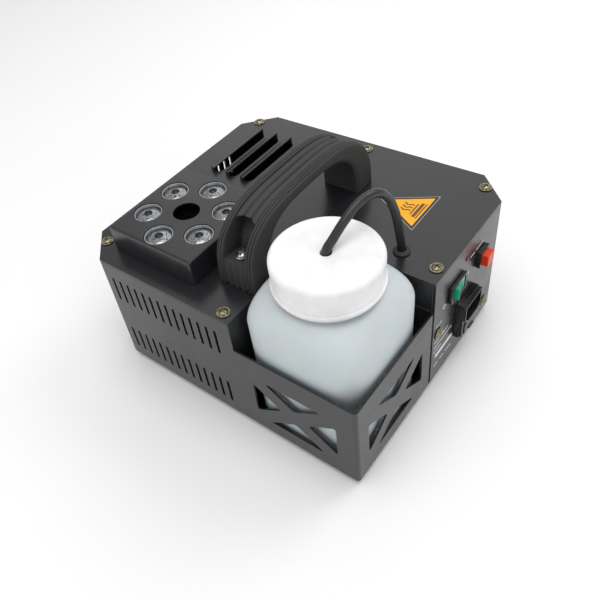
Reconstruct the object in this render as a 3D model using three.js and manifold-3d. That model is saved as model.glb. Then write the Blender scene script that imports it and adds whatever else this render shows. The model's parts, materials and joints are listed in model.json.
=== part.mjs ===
// Portable stage fog machine: a folded sheet-steel case with an open bay for a fluid jar, an upward nozzle in a
// ring of six lamps, a carrying handle, a control panel, and the heater, pump and boards inside.
//
// Units are millimetres and +Z is up. X runs along the slotted side of the case, towards the jar bay, and Y runs
// along the side that carries the control panel. The part's origin is on the floor, under the centre of the box
// that holds the whole machine. Inside the machine group, z = 0 is the lower edge of the case.

import * as THREE from 'three';
import { mergeVertices } from 'three/addons/utils/BufferGeometryUtils.js';
import Module from 'manifold-3d';

const wasm = await Module();
wasm.setup();

// ---------------------------------------------------------------------------------------------------------------
// Driving dimensions

const CASE_W = 250; // along X
const CASE_D = 226; // along Y
const CASE_H = 107; // lower edge of the case to the top of the lid
const RIM_H = 80; // height of the low walls round the jar bay
const CHAMFER = 24.4; // three of the four upright corners are cut off at 45 degrees
const SHEET = 1.5; // sheet-steel thickness
const GAP = 0.3; // clearance between neighbouring pieces
const BEND_R = 3; // outer radius of the fold at the bay corner
const FOOT_H = 5;
const FITTINGS_PROUD = 8.5; // how far the panel fittings stand out of the case

const BAY_X = 27.2; // the bay takes the corner beyond this X ...
const BAY_Y = -13.1; // ... and before this Y

const LEFT = -CASE_W / 2;
const RIGHT = CASE_W / 2;
const FRONT = -CASE_D / 2;
const BACK = CASE_D / 2;
const LID_Z = CASE_H - SHEET; // underside of the lid
const WALL_TOP = LID_Z - GAP;
const WALL_FOOT = SHEET + GAP; // walls stand on the base plate

const SLOT = { count: 14, pitch: 8, width: 2.4, length: 23.6, first: -92, rows: [24, 80.2] };
const SIDE_SLOT = { first: -40 }; // the same slots in the left wall, counted along Y

// The window behind each X-shaped brace: heights, the two faces' spans, the bars' width and corner rounding.
const BRACE = { low: 13.5, high: 60, onFront: [39, 108.6], onSide: [-99, -27.1], bar: 12.5, soften: 3 };

const DECK = { x0: -99.9, x1: -16.2, y0: -96.9, y1: -10.7, height: 21.2, fold: 2.4 };
const NOZZLE = { x: -58.1, y: -53.9, hole: 10.5 };
const LAMP = { count: 6, ring: 30.3, lens: 10.9, hole: 11.3 };

const LOUVRE = { count: 4, x: -104.5, pitch: 16, y0: 17, y1: 85, hood: 8.6, slot: 13, rise: 4.6 };

const LID_SCREWS = [
  [-111.4, -94.9],
  [18.2, -105.9],
  [-110.7, 98.1],
  [1.3, 103.6],
  [108.1, 98.5],
  [117.8, 1.4],
];
const SCREW = { head: 4.9, headHeight: 2.3, shank: 1.7, length: 7, hole: 2.1 };

const GROMMET = { x: 89.5, y: 5, outer: 6.2, neck: 4.6, bore: 3.45 };
const HOSE_R = 3.1;

const JAR = { x: 74.7, y: -62.4, half: 46.2, corner: 22.5, foot: SHEET + GAP, shoulder: 104, wall: 1.7 };
const NECK = { r: 31.5, ring: 35.6, ringZ: 127, ringHeight: 2.2, top: 146.1, base: 125 };
const CAP = { top: 152.6, bottom: 130, topR: 36.7, bottomR: 37.3, wall: 3, hole: 4.1 };

const HANDLE = { x: 11, y: -9.5, front: 73.5, rear: 79, height: 53.3, width: 32.4, topWidth: 30.5, thick: 9, foot: 22 };
const HANDLE_WELL = { width: 19, floor: 22, top: 47, reach: 9 }; // the recess over the screw in each foot
const HANDLE_SHOULDER = { front: 3.2, rear: 3 }; // how square each end of the arch is

const PANEL_Y0 = -12.3;
const INLET = { y: 37.7, z: 37.8, w: 30.4, h: 35, proud: 6 };
const SOCKET = { y: 38.6, z: 44, w: 24.4, h: 16.6, cut: 4.4, depth: 17 };
const ROCKER = { y: 20.4, z: 76.8, w: 23.6, h: 15.4, proud: 2.4 };
const ROCKER_TILT = 14; // degrees each way from level
const BUTTON = { y: 59.3, z: 77.2, size: 14.8, proud: 3.2, cap: 10.4 };
const LAMP_HOLE = { y: 35.3, z: 92.3, r: 2.2 };
const PANEL_SCREWS = [
  [-4.2, 50.8],
  [77.5, 12.8],
];

const HEATER = { r: 24, z0: 20, z1: 84, jacket: 33 };
const PUMP = { x: 74, y: 52, z: 46, half: 36, inlet: 12, outlet: 10 };

// ---------------------------------------------------------------------------------------------------------------
// Solids: every helper takes or gives a closed manifold solid

function solid(geometry) {
  const bare = geometry.clone();
  bare.deleteAttribute('normal');
  bare.deleteAttribute('uv');
  const merged = mergeVertices(bare, 1e-4);
  const triVerts = new Uint32Array(merged.index.array);
  const build = () =>
    new wasm.Manifold(
      new wasm.Mesh({ numProp: 3, vertProperties: merged.attributes.position.array, triVerts })
    );
  const first = build();
  if (first.volume() > 0) return first;
  for (let i = 0; i < triVerts.length; i += 3) {
    [triVerts[i + 1], triVerts[i + 2]] = [triVerts[i + 2], triVerts[i + 1]];
  }
  return build();
}

const join = (...solids) => solids.reduce((whole, next) => whole.add(next));
const cut = (body, ...tools) => tools.reduce((rest, tool) => rest.subtract(tool), body);

// A box given by its low and high limits along X, Y and Z.
function block([x0, x1], [y0, y1], [z0, z1]) {
  const box = new THREE.BoxGeometry(x1 - x0, y1 - y0, z1 - z0);
  return solid(box.translate((x0 + x1) / 2, (y0 + y1) / 2, (z0 + z1) / 2));
}

// A shape drawn in one plane and pushed along the axis across it: 'z' takes (x, y), 'y' takes (x, z) and 'x' takes
// (y, z). Each arc of the shape becomes twice curveSegments straight steps.
function prism(shape, axis, low, high, curveSegments = 2) {
  const extruded = new THREE.ExtrudeGeometry(shape, {
    depth: high - low,
    bevelEnabled: false,
    curveSegments,
  });
  return solid(turned(extruded, axis, low, high));
}

function turned(geometry, axis, low, high) {
  const basis = new THREE.Matrix4();
  if (axis === 'x') {
    basis.makeBasis(new THREE.Vector3(0, 1, 0), new THREE.Vector3(0, 0, 1), new THREE.Vector3(1, 0, 0));
    basis.setPosition(low, 0, 0);
  } else if (axis === 'y') {
    basis.makeBasis(new THREE.Vector3(1, 0, 0), new THREE.Vector3(0, 0, 1), new THREE.Vector3(0, -1, 0));
    basis.setPosition(0, high, 0);
  } else {
    basis.setPosition(0, 0, low);
  }
  return geometry.applyMatrix4(basis);
}

// A round bar or hole along an axis; centre is given in the plane across that axis, as for prism.
function rod(axis, [u, v], radius, low, high, segments = 20) {
  const circle = new THREE.Shape();
  circle.absarc(u, v, radius, 0, Math.PI * 2);
  return prism(circle, axis, low, high, segments / 2);
}

// A profile of [radius, height] points turned about an upright axis through (x, y).
function turning(profile, x, y, segments = 32) {
  const points = profile.map(([r, z]) => new THREE.Vector2(r, z));
  return solid(new THREE.LatheGeometry(points, segments).rotateX(Math.PI / 2).translate(x, y, 0));
}

// A tube along a curve, with flat ends.
function tube(curve, radius, steps, sides = 10) {
  const circle = new THREE.Shape();
  for (let i = 0; i < sides; i++) {
    const a = (i / sides) * Math.PI * 2;
    const move = i ? 'lineTo' : 'moveTo';
    circle[move](radius * Math.cos(a), radius * Math.sin(a));
  }
  circle.closePath();
  return solid(new THREE.ExtrudeGeometry(circle, { steps, extrudePath: curve, bevelEnabled: false }));
}

const vectors = (rows) => rows.map(([x, y, z]) => new THREE.Vector3(x, y, z));

function polygon(points) {
  return new THREE.Shape(points.map(([x, y]) => new THREE.Vector2(x, y)));
}

// A rectangle about (u, v) with its corners rounded to radius r.
function roundedRect(u, v, w, h, r) {
  const shape = new THREE.Shape();
  shape.absarc(u + w / 2 - r, v - h / 2 + r, r, -Math.PI / 2, 0);
  shape.absarc(u + w / 2 - r, v + h / 2 - r, r, 0, Math.PI / 2);
  shape.absarc(u - w / 2 + r, v + h / 2 - r, r, Math.PI / 2, Math.PI);
  shape.absarc(u - w / 2 + r, v - h / 2 + r, r, Math.PI, Math.PI * 1.5);
  return shape;
}

// An upright slot with half-round ends, about (u, v).
function slotShape(u, v, width, length) {
  const reach = (length - width) / 2;
  const shape = new THREE.Shape();
  shape.absarc(u, v + reach, width / 2, 0, Math.PI);
  shape.absarc(u, v - reach, width / 2, Math.PI, Math.PI * 2);
  return shape;
}

// Rings of equally many [x, y, z] points, joined one to the next; the first and the last are closed by a fan.
function loft(rings) {
  const n = rings[0].length;
  const middle = (ring) => [0, 1, 2].map((k) => ring.reduce((sum, p) => sum + p[k], 0) / n);
  const positions = rings.flat(2).concat(middle(rings[0]), middle(rings.at(-1)));
  const [lowPole, highPole] = [rings.length * n, rings.length * n + 1];
  const index = [];
  for (let j = 0; j < n; j++) {
    const k = (j + 1) % n;
    index.push(lowPole, k, j);
    for (let i = 0; i + 1 < rings.length; i++) {
      const [a, b] = [i * n, (i + 1) * n];
      index.push(a + j, a + k, b + k, a + j, b + k, b + j);
    }
    index.push(highPole, (rings.length - 1) * n + j, (rings.length - 1) * n + k);
  }
  const geometry = new THREE.BufferGeometry();
  geometry.setAttribute('position', new THREE.Float32BufferAttribute(positions, 3));
  geometry.setIndex(index);
  return solid(geometry);
}

// ---------------------------------------------------------------------------------------------------------------
// Finishes

const finish = (color, roughness, metalness, extra = {}) =>
  new THREE.MeshStandardMaterial({ color, roughness, metalness, ...extra });

const POWDER_COAT = finish(0x35373a, 0.55, 0.3);
const BLACK_PLASTIC = finish(0x1c1d1f, 0.5, 0);
const HANDLE_PLASTIC = finish(0x26282a, 0.42, 0);
const HOSE_RUBBER = finish(0x2b2c2e, 0.45, 0);
const SOFT_RUBBER = finish(0x18181a, 0.85, 0);
const JAR_PLASTIC = finish(0xdde5ec, 0.35, 0, { transparent: true, opacity: 0.8 });
const CAP_PLASTIC = finish(0xf6f6f6, 0.45, 0);
const FOAM_LINER = finish(0xe6e2d8, 0.8, 0);
const GREEN_PLASTIC = finish(0x1fae86, 0.35, 0);
const RED_PLASTIC = finish(0xd8331a, 0.4, 0);
const LAMP_RED = finish(0x8a1a14, 0.25, 0);
const CLEAR_LENS = finish(0xe8edf0, 0.15, 0, { transparent: true, opacity: 0.7 });
const ZINC = finish(0xa79a6c, 0.35, 0.9);
const BRIGHT_STEEL = finish(0xc9cbcd, 0.3, 1);
const BRASS = finish(0xb08d4a, 0.3, 1);
const CAST_ALUMINIUM = finish(0x9a9c9e, 0.5, 0.9);
const GLASS_CLOTH = finish(0xd8cfb8, 0.9, 0);
const BOARD_GREEN = finish(0x1f5b3a, 0.5, 0);
const COIL_TAPE = finish(0x7a2f1c, 0.6, 0.1);
const PUMP_NYLON = finish(0xd9d6cc, 0.5, 0);
const LABEL_AMBER = finish(0xf2ab1e, 0.5, 0);
const FUSE_GLASS = finish(0xdfe6e8, 0.1, 0, { transparent: true, opacity: 0.6 });

const fogMachine = new THREE.Group();
const machine = new THREE.Group();
machine.position.set(-FITTINGS_PROUD / 2, 0, FOOT_H);
fogMachine.add(machine);

// Adds a solid to the machine as one named mesh.
function place(name, body, material) {
  const { vertProperties, triVerts } = body.getMesh();
  const geometry = new THREE.BufferGeometry();
  geometry.setAttribute('position', new THREE.Float32BufferAttribute(vertProperties, 3));
  geometry.setIndex(Array.from(triVerts));
  geometry.computeVertexNormals();
  const mesh = new THREE.Mesh(geometry, material);
  mesh.name = name;
  machine.add(mesh);
}

// ---------------------------------------------------------------------------------------------------------------
// Case

// The case's outline from above, moved inwards by inset: three cut corners and one tight fold at the bay corner.
function outline(inset) {
  const [x0, x1, y0, y1] = [LEFT + inset, RIGHT - inset, FRONT + inset, BACK - inset];
  const c = CHAMFER - inset * (2 - Math.SQRT2);
  const r = Math.max(BEND_R - inset, 0.5);
  const shape = new THREE.Shape();
  shape.moveTo(x0 + c, y0);
  shape.lineTo(x1 - r, y0);
  shape.absarc(x1 - r, y0 + r, r, -Math.PI / 2, 0);
  shape.lineTo(x1, y1 - c);
  shape.lineTo(x1 - c, y1);
  shape.lineTo(x0 + c, y1);
  shape.lineTo(x0, y1 - c);
  shape.lineTo(x0, y0 + c);
  shape.closePath();
  return shape;
}

const shell = cut(
  prism(outline(0), 'z', WALL_FOOT, WALL_TOP),
  prism(outline(SHEET), 'z', 0, CASE_H)
);
const inside = prism(outline(SHEET / 2), 'z', 0, CASE_H);
const PAST = 5; // how far a cutting tool runs past the sheet it cuts

// A folded-in ear under the lid for one lid screw, with its pilot hole.
function lidEar([x, y], low, high) {
  const ear = block([low[0], high[0]], [low[1], high[1]], [WALL_TOP - 2, WALL_TOP - 0.5]);
  return cut(ear.intersect(inside), rod('z', [x, y], SCREW.hole, LID_Z - PAST, CASE_H, 12));
}

// Two rows of upright vent slots through a wall that faces along the given axis.
function ventSlots(axis, low, high, first) {
  const slots = [];
  for (const row of SLOT.rows) {
    for (let i = 0; i < SLOT.count; i++) {
      slots.push(prism(slotShape(first + i * SLOT.pitch, row, SLOT.width, SLOT.length), axis, low, high));
    }
  }
  return slots;
}

// The four triangles round one X-shaped brace, as prisms across the wall.
function braceCuts(axis, low, high, [from, to]) {
  const { low: z0, high: z1, bar, soften } = BRACE;
  const [w, h] = [to - from, z1 - z0];
  const diagonal = Math.hypot(w, h);
  const [slackU, slackV] = [(bar / 2) * (diagonal / h), (bar / 2) * (diagonal / w)];
  const [u, v] = [(from + to) / 2, (z0 + z1) / 2];
  const corners = [
    [[from, z0 + slackV], [from, z1 - slackV], [u - slackU, v]],
    [[to, z1 - slackV], [to, z0 + slackV], [u + slackU, v]],
    [[from + slackU, z1], [to - slackU, z1], [u, v + slackV]],
    [[to - slackU, z0], [from + slackU, z0], [u, v - slackV]],
  ];
  return corners.map((triangle) => prism(softTriangle(triangle, soften), axis, low, high));
}

// A triangle with its corners rounded by curves that start and end r along each side.
function softTriangle(points, r) {
  const p = points.map(([x, y]) => new THREE.Vector2(x, y));
  const shape = new THREE.Shape();
  p.forEach((corner, i) => {
    const before = p[(i + 2) % 3].clone().sub(corner).setLength(r).add(corner);
    const after = p[(i + 1) % 3].clone().sub(corner).setLength(r).add(corner);
    if (i) shape.lineTo(before.x, before.y);
    else shape.moveTo(before.x, before.y);
    shape.quadraticCurveTo(corner.x, corner.y, after.x, after.y);
  });
  shape.closePath();
  return shape;
}

function makeCase() {
  place('base_plate', prism(outline(0.4), 'z', 0, SHEET), POWDER_COAT);

  const seamY = BACK - CHAMFER;
  const frontPart = join(
    block([LEFT - 1, 0], [FRONT - 1, seamY - GAP / 2], [0, CASE_H]),
    block([-1, RIGHT + 1], [FRONT - 1, PANEL_Y0 - 2.4], [0, CASE_H])
  );
  const sideWrap = cut(
    join(
      shell.intersect(frontPart),
      lidEar(LID_SCREWS[0], [-120, -106], [-104, -88]),
      lidEar(LID_SCREWS[1], [12, FRONT], [24.4, -99.4])
    ),
    block([BAY_X, RIGHT + PAST], [FRONT - PAST, BAY_Y], [RIM_H, CASE_H]),
    ...ventSlots('y', FRONT - PAST, FRONT + PAST, SLOT.first),
    ...ventSlots('x', LEFT - PAST, LEFT + PAST, SIDE_SLOT.first),
    ...braceCuts('y', FRONT - PAST, FRONT + PAST, BRACE.onFront),
    ...braceCuts('x', RIGHT - PAST, RIGHT + PAST, BRACE.onSide)
  );
  place('side_wrap', sideWrap, POWDER_COAT);

  const rearWrap = join(
    shell.intersect(block([LEFT - 1, RIGHT + 1], [seamY + GAP / 2, BACK + 1], [0, CASE_H])),
    lidEar(LID_SCREWS[2], [-118, 90], [-103, 106]),
    lidEar(LID_SCREWS[3], [-5, 96.5], [7.6, BACK]),
    lidEar(LID_SCREWS[4], [101, 91], [116, 106])
  );
  place('rear_wrap', rearWrap, POWDER_COAT);

  const panel = cut(
    join(
      shell.intersect(block([100, RIGHT + 1], [PANEL_Y0, seamY - GAP / 2], [0, CASE_H])),
      lidEar(LID_SCREWS[5], [111.5, -4.5], [RIGHT, 7.5])
    ),
    prism(roundedRect(SOCKET.y, INLET.z, 27.4, 31.4, 1), 'x', RIGHT - PAST, RIGHT + PAST),
    prism(roundedRect(ROCKER.y, ROCKER.z, 21, 12.8, 0.8), 'x', RIGHT - PAST, RIGHT + PAST),
    prism(roundedRect(BUTTON.y, BUTTON.z, 12.4, 12.4, 0.8), 'x', RIGHT - PAST, RIGHT + PAST),
    rod('x', [LAMP_HOLE.y, LAMP_HOLE.z], LAMP_HOLE.r, RIGHT - PAST, RIGHT + PAST, 16),
    ...PANEL_SCREWS.map((at) => rod('x', at, SCREW.hole, RIGHT - PAST, RIGHT + PAST, 12))
  );
  place('control_panel', panel, POWDER_COAT);

  // The bay's two inner walls are one folded sheet that stands just inside the lid's edge.
  const [wx, wy] = [BAY_X - GAP, BAY_Y + GAP];
  const t = 1.2;
  const fold = [
    [wx - t, FRONT + SHEET + GAP],
    [wx, FRONT + SHEET + GAP],
    [wx, wy],
    [RIGHT - SHEET - GAP, wy],
    [RIGHT - SHEET - GAP, wy + t],
    [wx - t, wy + t],
  ];
  place('bay_wall', prism(polygon(fold), 'z', WALL_FOOT, WALL_TOP), POWDER_COAT);
}

// One louvre: a hood pressed up out of the lid, low on its -X side and open on its +X side.
function louvreHood(x, inset) {
  const rise = LOUVRE.rise - inset;
  const hood = new THREE.Shape();
  hood.moveTo(x + inset * 1.6, CASE_H - SHEET);
  hood.lineTo(x + inset * 1.6, CASE_H - SHEET / 2);
  hood.quadraticCurveTo(x + LOUVRE.hood * 0.35, CASE_H + rise, x + LOUVRE.hood + inset, CASE_H + rise);
  hood.lineTo(x + LOUVRE.hood + inset, CASE_H - SHEET);
  hood.closePath();
  const body = prism(hood, 'y', LOUVRE.y0 + inset, LOUVRE.y1 - inset, 2);
  const plan = roundedRect(
    x + LOUVRE.hood,
    (LOUVRE.y0 + LOUVRE.y1) / 2,
    2 * (LOUVRE.hood - inset),
    LOUVRE.y1 - LOUVRE.y0 - 2 * inset,
    LOUVRE.hood - inset - 0.01
  );
  return body.intersect(prism(plan, 'z', 0, CASE_H + 20, 2));
}

function makeLid() {
  const bay = block([BAY_X, RIGHT + PAST], [FRONT - PAST, BAY_Y], [0, CASE_H + PAST]);
  let lid = cut(prism(outline(0), 'z', LID_Z, CASE_H), bay);
  for (let i = 0; i < LOUVRE.count; i++) {
    const x = LOUVRE.x + i * LOUVRE.pitch;
    const length = LOUVRE.y1 - LOUVRE.y0;
    const opening = slotShape(x + LOUVRE.slot / 2 + 1.5, (LOUVRE.y0 + LOUVRE.y1) / 2, LOUVRE.slot - 2, length - 3);
    lid = cut(lid, prism(opening, 'z', 0, CASE_H + PAST));
    lid = join(lid, cut(louvreHood(x, 0), louvreHood(x, 1)));
  }
  lid = cut(
    lid,
    rod('z', [NOZZLE.x, NOZZLE.y], 16, 0, CASE_H + PAST, 24),
    rod('z', [GROMMET.x, GROMMET.y], GROMMET.neck + GAP, 0, CASE_H + PAST, 20),
    ...LID_SCREWS.map((at) => rod('z', at, SCREW.hole, 0, CASE_H + PAST, 12)),
    ...handleScrewPlaces().map((at) => rod('z', at, SCREW.hole, 0, CASE_H + PAST, 12))
  );
  place('top_plate', lid, POWDER_COAT);
}

// A pan-head screw with a washer face and a cross recess, standing on a plane along +Z or +X.
function screw(axis, [u, v], base) {
  const outward = base + SCREW.headHeight;
  const dome = base + SCREW.headHeight - 0.9;
  const recess = 0.45;
  const cross = (du, dv) => {
    const bar = polygon([[u - du, v - dv], [u + du, v - dv], [u + du, v + dv], [u - du, v + dv]]);
    return prism(bar, axis, base + 0.9, outward + 1);
  };
  return cut(
    join(
      rod(axis, [u, v], SCREW.head, base, base + 0.8, 16),
      rod(axis, [u, v], SCREW.head * 0.74, base, dome, 12),
      rod(axis, [u, v], SCREW.head * 0.56, base, outward, 12),
      rod(axis, [u, v], SCREW.shank, base - SCREW.length, base + 0.5, 8)
    ),
    cross(2, recess),
    cross(recess, 2)
  );
}

function makeFasteners() {
  LID_SCREWS.forEach((at, i) => place(`lid_screw_${i + 1}`, screw('z', at, CASE_H + GAP), ZINC));
  PANEL_SCREWS.forEach((at, i) => place(`panel_screw_${i + 1}`, screw('x', at, RIGHT + GAP), ZINC));
  const inset = 22;
  const corners = [
    [LEFT + inset, FRONT + inset],
    [RIGHT - inset, FRONT + inset],
    [LEFT + inset, BACK - inset],
    [RIGHT - inset, BACK - inset],
  ];
  corners.forEach(([x, y], i) => {
    const foot = turning([[0, -FOOT_H], [8, -FOOT_H], [9.5, -FOOT_H + 1.2], [9, -GAP], [0, -GAP]], x, y, 24);
    place(`foot_${i + 1}`, foot, SOFT_RUBBER);
  });
}

// ---------------------------------------------------------------------------------------------------------------
// Nozzle deck and lamps

const DECK_TOP = CASE_H + DECK.height;
const lampPlaces = Array.from({ length: LAMP.count }, (_, i) => {
  const angle = Math.PI / 6 + (i * Math.PI) / 3;
  return [NOZZLE.x + LAMP.ring * Math.cos(angle), NOZZLE.y + LAMP.ring * Math.sin(angle)];
});

// The deck's body: an upright block with rounded corners whose top edge is folded over.
function deckBlock(inset) {
  const [w, d] = [DECK.x1 - DECK.x0 - 2 * inset, DECK.y1 - DECK.y0 - 2 * inset];
  const fold = DECK.fold - inset;
  const plan = roundedRect((DECK.x0 + DECK.x1) / 2, (DECK.y0 + DECK.y1) / 2, w - 2 * fold, d - 2 * fold, 0.8);
  const extruded = new THREE.ExtrudeGeometry(plan, {
    depth: DECK.height + 20,
    bevelThickness: fold,
    bevelSize: fold,
    bevelSegments: 2,
    curveSegments: 1,
  });
  return solid(extruded.translate(0, 0, DECK_TOP - inset - fold - DECK.height - 20));
}

function makeDeck() {
  const below = block([LEFT, RIGHT], [FRONT, BACK], [0, CASE_H + GAP]);
  const deck = cut(
    deckBlock(0),
    deckBlock(SHEET),
    below,
    rod('z', [NOZZLE.x, NOZZLE.y], NOZZLE.hole, CASE_H, DECK_TOP + PAST, 20),
    ...lampPlaces.map((at) => rod('z', at, LAMP.hole, CASE_H, DECK_TOP + PAST, 20))
  );
  place('nozzle_deck', deck, POWDER_COAT);

  const boardZ = CASE_H + 6;
  const [cx, cy] = [(DECK.x0 + DECK.x1) / 2, (DECK.y0 + DECK.y1) / 2];
  const board = prism(roundedRect(cx, cy, 78, 80, 6), 'z', boardZ, boardZ + 1.6, 3);
  const legs = [
    [cx - 33, cy - 34],
    [cx + 33, cy - 34],
    [cx - 33, cy + 34],
    [cx + 33, cy + 34],
  ];
  const lampBoard = cut(
    join(
      board,
      ...legs.map((at) => rod('z', at, 2.6, CASE_H + GAP, boardZ + 0.5, 12)),
      ...lampPlaces.map((at) => rod('z', at, 3, boardZ, boardZ + 3, 16))
    ),
    rod('z', [NOZZLE.x, NOZZLE.y], 12, CASE_H, DECK_TOP, 24)
  );
  place('lamp_board', lampBoard, BOARD_GREEN);

  // Each lens is a cone that widens to the deck, hollow underneath over its emitter.
  lampPlaces.forEach(([x, y], i) => {
    const foot = boardZ + 1.6 + GAP;
    const top = DECK_TOP - 0.5;
    const profile = [
      [3.6, foot],
      [5.4, foot],
      [LAMP.lens, top - 4],
      [LAMP.lens, top],
      [LAMP.lens - 1.2, top],
      [LAMP.lens - 1.8, top - 0.8],
      [0, top - 0.8],
      [0, foot + 3],
      [3.6, foot + 2.4],
    ];
    place(`lamp_lens_${i + 1}`, turning([...profile, profile[0]], x, y, 16), CLEAR_LENS);
  });
}

// ---------------------------------------------------------------------------------------------------------------
// Heater and nozzle

function makeHeater() {
  const { x, y } = NOZZLE;
  const { r, z0, z1, jacket } = HEATER;
  const bore = 4;
  const inletZ = z0 + 10;
  const core = join(
    turning([[bore, z0], [r, z0], [r, z1], [bore, z1], [bore, z0]], x, y, 32),
    rod('z', [x - 14, y], 2.5, z0 - 5, z0 + 1, 10),
    rod('z', [x, y - 14], 2.5, z0 - 5, z0 + 1, 10)
  );
  const inletPort = rod('x', [y, inletZ], 2.2, x, x + r + PAST, 10);
  place('heater_core', cut(core, inletPort), CAST_ALUMINIUM);

  const jacketBody = turning(
    [[r + GAP, z0 + 2], [jacket, z0 + 2], [jacket, z1 - 4], [r + GAP, z1 - 4], [r + GAP, z0 + 2]],
    x,
    y,
    32
  );
  place('heater_jacket', cut(jacketBody, rod('x', [y, inletZ], 3.4, x, x + jacket + PAST, 10)), GLASS_CLOTH);

  const seat = 13;
  const halfWidth = 28;
  const bracket = cut(
    join(
      block([x - halfWidth, x + halfWidth], [y - 20, y + 20], [seat, seat + SHEET]),
      block([x - halfWidth, x - halfWidth + SHEET], [y - 20, y + 20], [WALL_FOOT, seat + 0.5]),
      block([x + halfWidth - SHEET, x + halfWidth], [y - 20, y + 20], [WALL_FOOT, seat + 0.5]),
      ...[[1, 1], [-1, 1], [1, -1], [-1, -1]].map(([sx, sy]) =>
        rod('z', [x + sx * 11, y + sy * 11], 3, seat, z0 - GAP, 10)
      )
    ),
    rod('z', [x - 14, y], 4, 0, z0, 12),
    rod('z', [x, y - 14], 4, 0, z0, 12)
  );
  place('heater_bracket', bracket, BRIGHT_STEEL);

  const outlet = DECK_TOP - 13;
  const nozzle = turning(
    [
      [1.6, z1 + GAP],
      [6, z1 + GAP],
      [6, z1 + 8],
      [4.2, z1 + 10],
      [4.2, outlet - 12],
      [8.6, outlet - 8],
      [8.6, outlet],
      [6.4, outlet],
      [1.6, outlet - 7],
      [1.6, z1 + GAP],
    ],
    x,
    y,
    24
  );
  place('fog_nozzle', nozzle, BRASS);

  const cutout = join(
    rod('z', [x + 15.5, y], 8, z1 + GAP, z1 + 6, 20),
    block([x + 11.5, x + 13], [y - 3, y + 3], [z1 + 5.5, z1 + 13]),
    block([x + 18, x + 19.5], [y - 3, y + 3], [z1 + 5.5, z1 + 13])
  );
  place('thermostat', cutout, BLACK_PLASTIC);
}

// ---------------------------------------------------------------------------------------------------------------
// Pump and its pipes

function makePump() {
  const { x, y, z } = PUMP;
  const [bodyR, bore] = [9, 6.4];
  const [back, front] = [y + PUMP.half, y - PUMP.half];
  const inletTip = front - PUMP.inlet;
  const outletTip = back + PUMP.outlet;
  const body = cut(
    join(
      rod('y', [x, z], bodyR, front, back, 24),
      rod('y', [x, z], 2.7, inletTip, front + 1, 12),
      rod('y', [x, z], 3.6, back - 1, outletTip, 12),
      rod('y', [x, z], 11.5, front, front + 4, 24)
    ),
    rod('y', [x, z], bore, front + 5, back - 6, 20),
    rod('y', [x, z], 1.5, inletTip - 1, outletTip + 1, 8)
  );
  place('pump_body', body, PUMP_NYLON);

  const plunger = cut(
    rod('y', [x, z], bore - GAP, y - 22, y + 22, 20),
    rod('y', [x, z], 1.8, y - 23, y + 23, 8)
  );
  place('pump_plunger', plunger, BRIGHT_STEEL);

  const coil = cut(
    join(
      block([x - 17, x + 17], [y - 20, y + 20], [z - 17, z + 17]),
      block([x - 19, x + 19], [y - 22, y - 19], [z - 20, z + 20]),
      block([x - 19, x + 19], [y + 19, y + 22], [z - 20, z + 20])
    ),
    rod('y', [x, z], bodyR + GAP, y - 30, y + 30, 24)
  );
  place('pump_coil', coil, COIL_TAPE);

  const top = z - 20 - GAP;
  const bracket = join(
    block([x - 19, x + 19], [y - 22, y + 22], [top - SHEET, top]),
    block([x - 19, x - 19 + SHEET], [y - 22, y + 22], [WALL_FOOT, top - 0.5]),
    block([x + 19 - SHEET, x + 19], [y - 22, y + 22], [WALL_FOOT, top - 0.5])
  );
  place('pump_bracket', bracket, BRIGHT_STEEL);

  // The delivery pipe leaves the far end of the pump and comes back along the floor to the heater's inlet.
  const portZ = HEATER.z0 + 10;
  const route = new THREE.CatmullRomCurve3(
    vectors([
      [x, outletTip + GAP, z],
      [x, outletTip + 3, z],
      [x - 6, outletTip + 8, z - 2],
      [x - 28, outletTip + 6, z - 9],
      [x - 44, outletTip - 6, z - 13],
      [x - 50, y + 20, portZ],
      [x - 56, y - 20, portZ],
      [x - 60, y - 60, portZ],
      [x - 68, NOZZLE.y + 16, portZ],
      [x - 84, NOZZLE.y + 3, portZ],
      [NOZZLE.x + HEATER.jacket + 6, NOZZLE.y, portZ],
      [NOZZLE.x + HEATER.r + GAP, NOZZLE.y, portZ],
    ]),
    false,
    'centripetal'
  );
  place('pressure_pipe', tube(route, 2, 34, 8), BRIGHT_STEEL);
}

// The suction hose runs from the pump up through the lid, arches over to the jar and hangs down inside it.
const PUMP_INLET_Y = PUMP.y - PUMP.half - PUMP.inlet;
const HOSE_ROUTE = [
  [PUMP.x, PUMP_INLET_Y - GAP, PUMP.z],
  [PUMP.x, PUMP_INLET_Y - 3, PUMP.z],
  [PUMP.x + 5, PUMP_INLET_Y - 7, PUMP.z + 8],
  [GROMMET.x - 3, GROMMET.y - 3, PUMP.z + 28],
  [GROMMET.x, GROMMET.y, CASE_H - 14],
  [GROMMET.x, GROMMET.y, CASE_H + 3],
  [89, 2.8, 124],
  [88.5, 0.3, 137],
  [87.8, -3, 149.5],
  [86.6, -8.4, 161.5],
  [85.1, -15.6, 169.8],
  [83, -25.4, 173.8],
  [80.6, -36, 172.4],
  [78.4, -46.6, 166.8],
  [76.2, -55.8, 159.2],
  [JAR.x, JAR.y, CAP.top + 0.5],
  [JAR.x, JAR.y, CAP.top - 14],
  [JAR.x, JAR.y, 90],
  [JAR.x + 4, JAR.y - 4, 55],
  [JAR.x + 8, JAR.y - 8, 28],
  [JAR.x + 8, JAR.y - 8, 20.4 + GAP],
];

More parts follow.
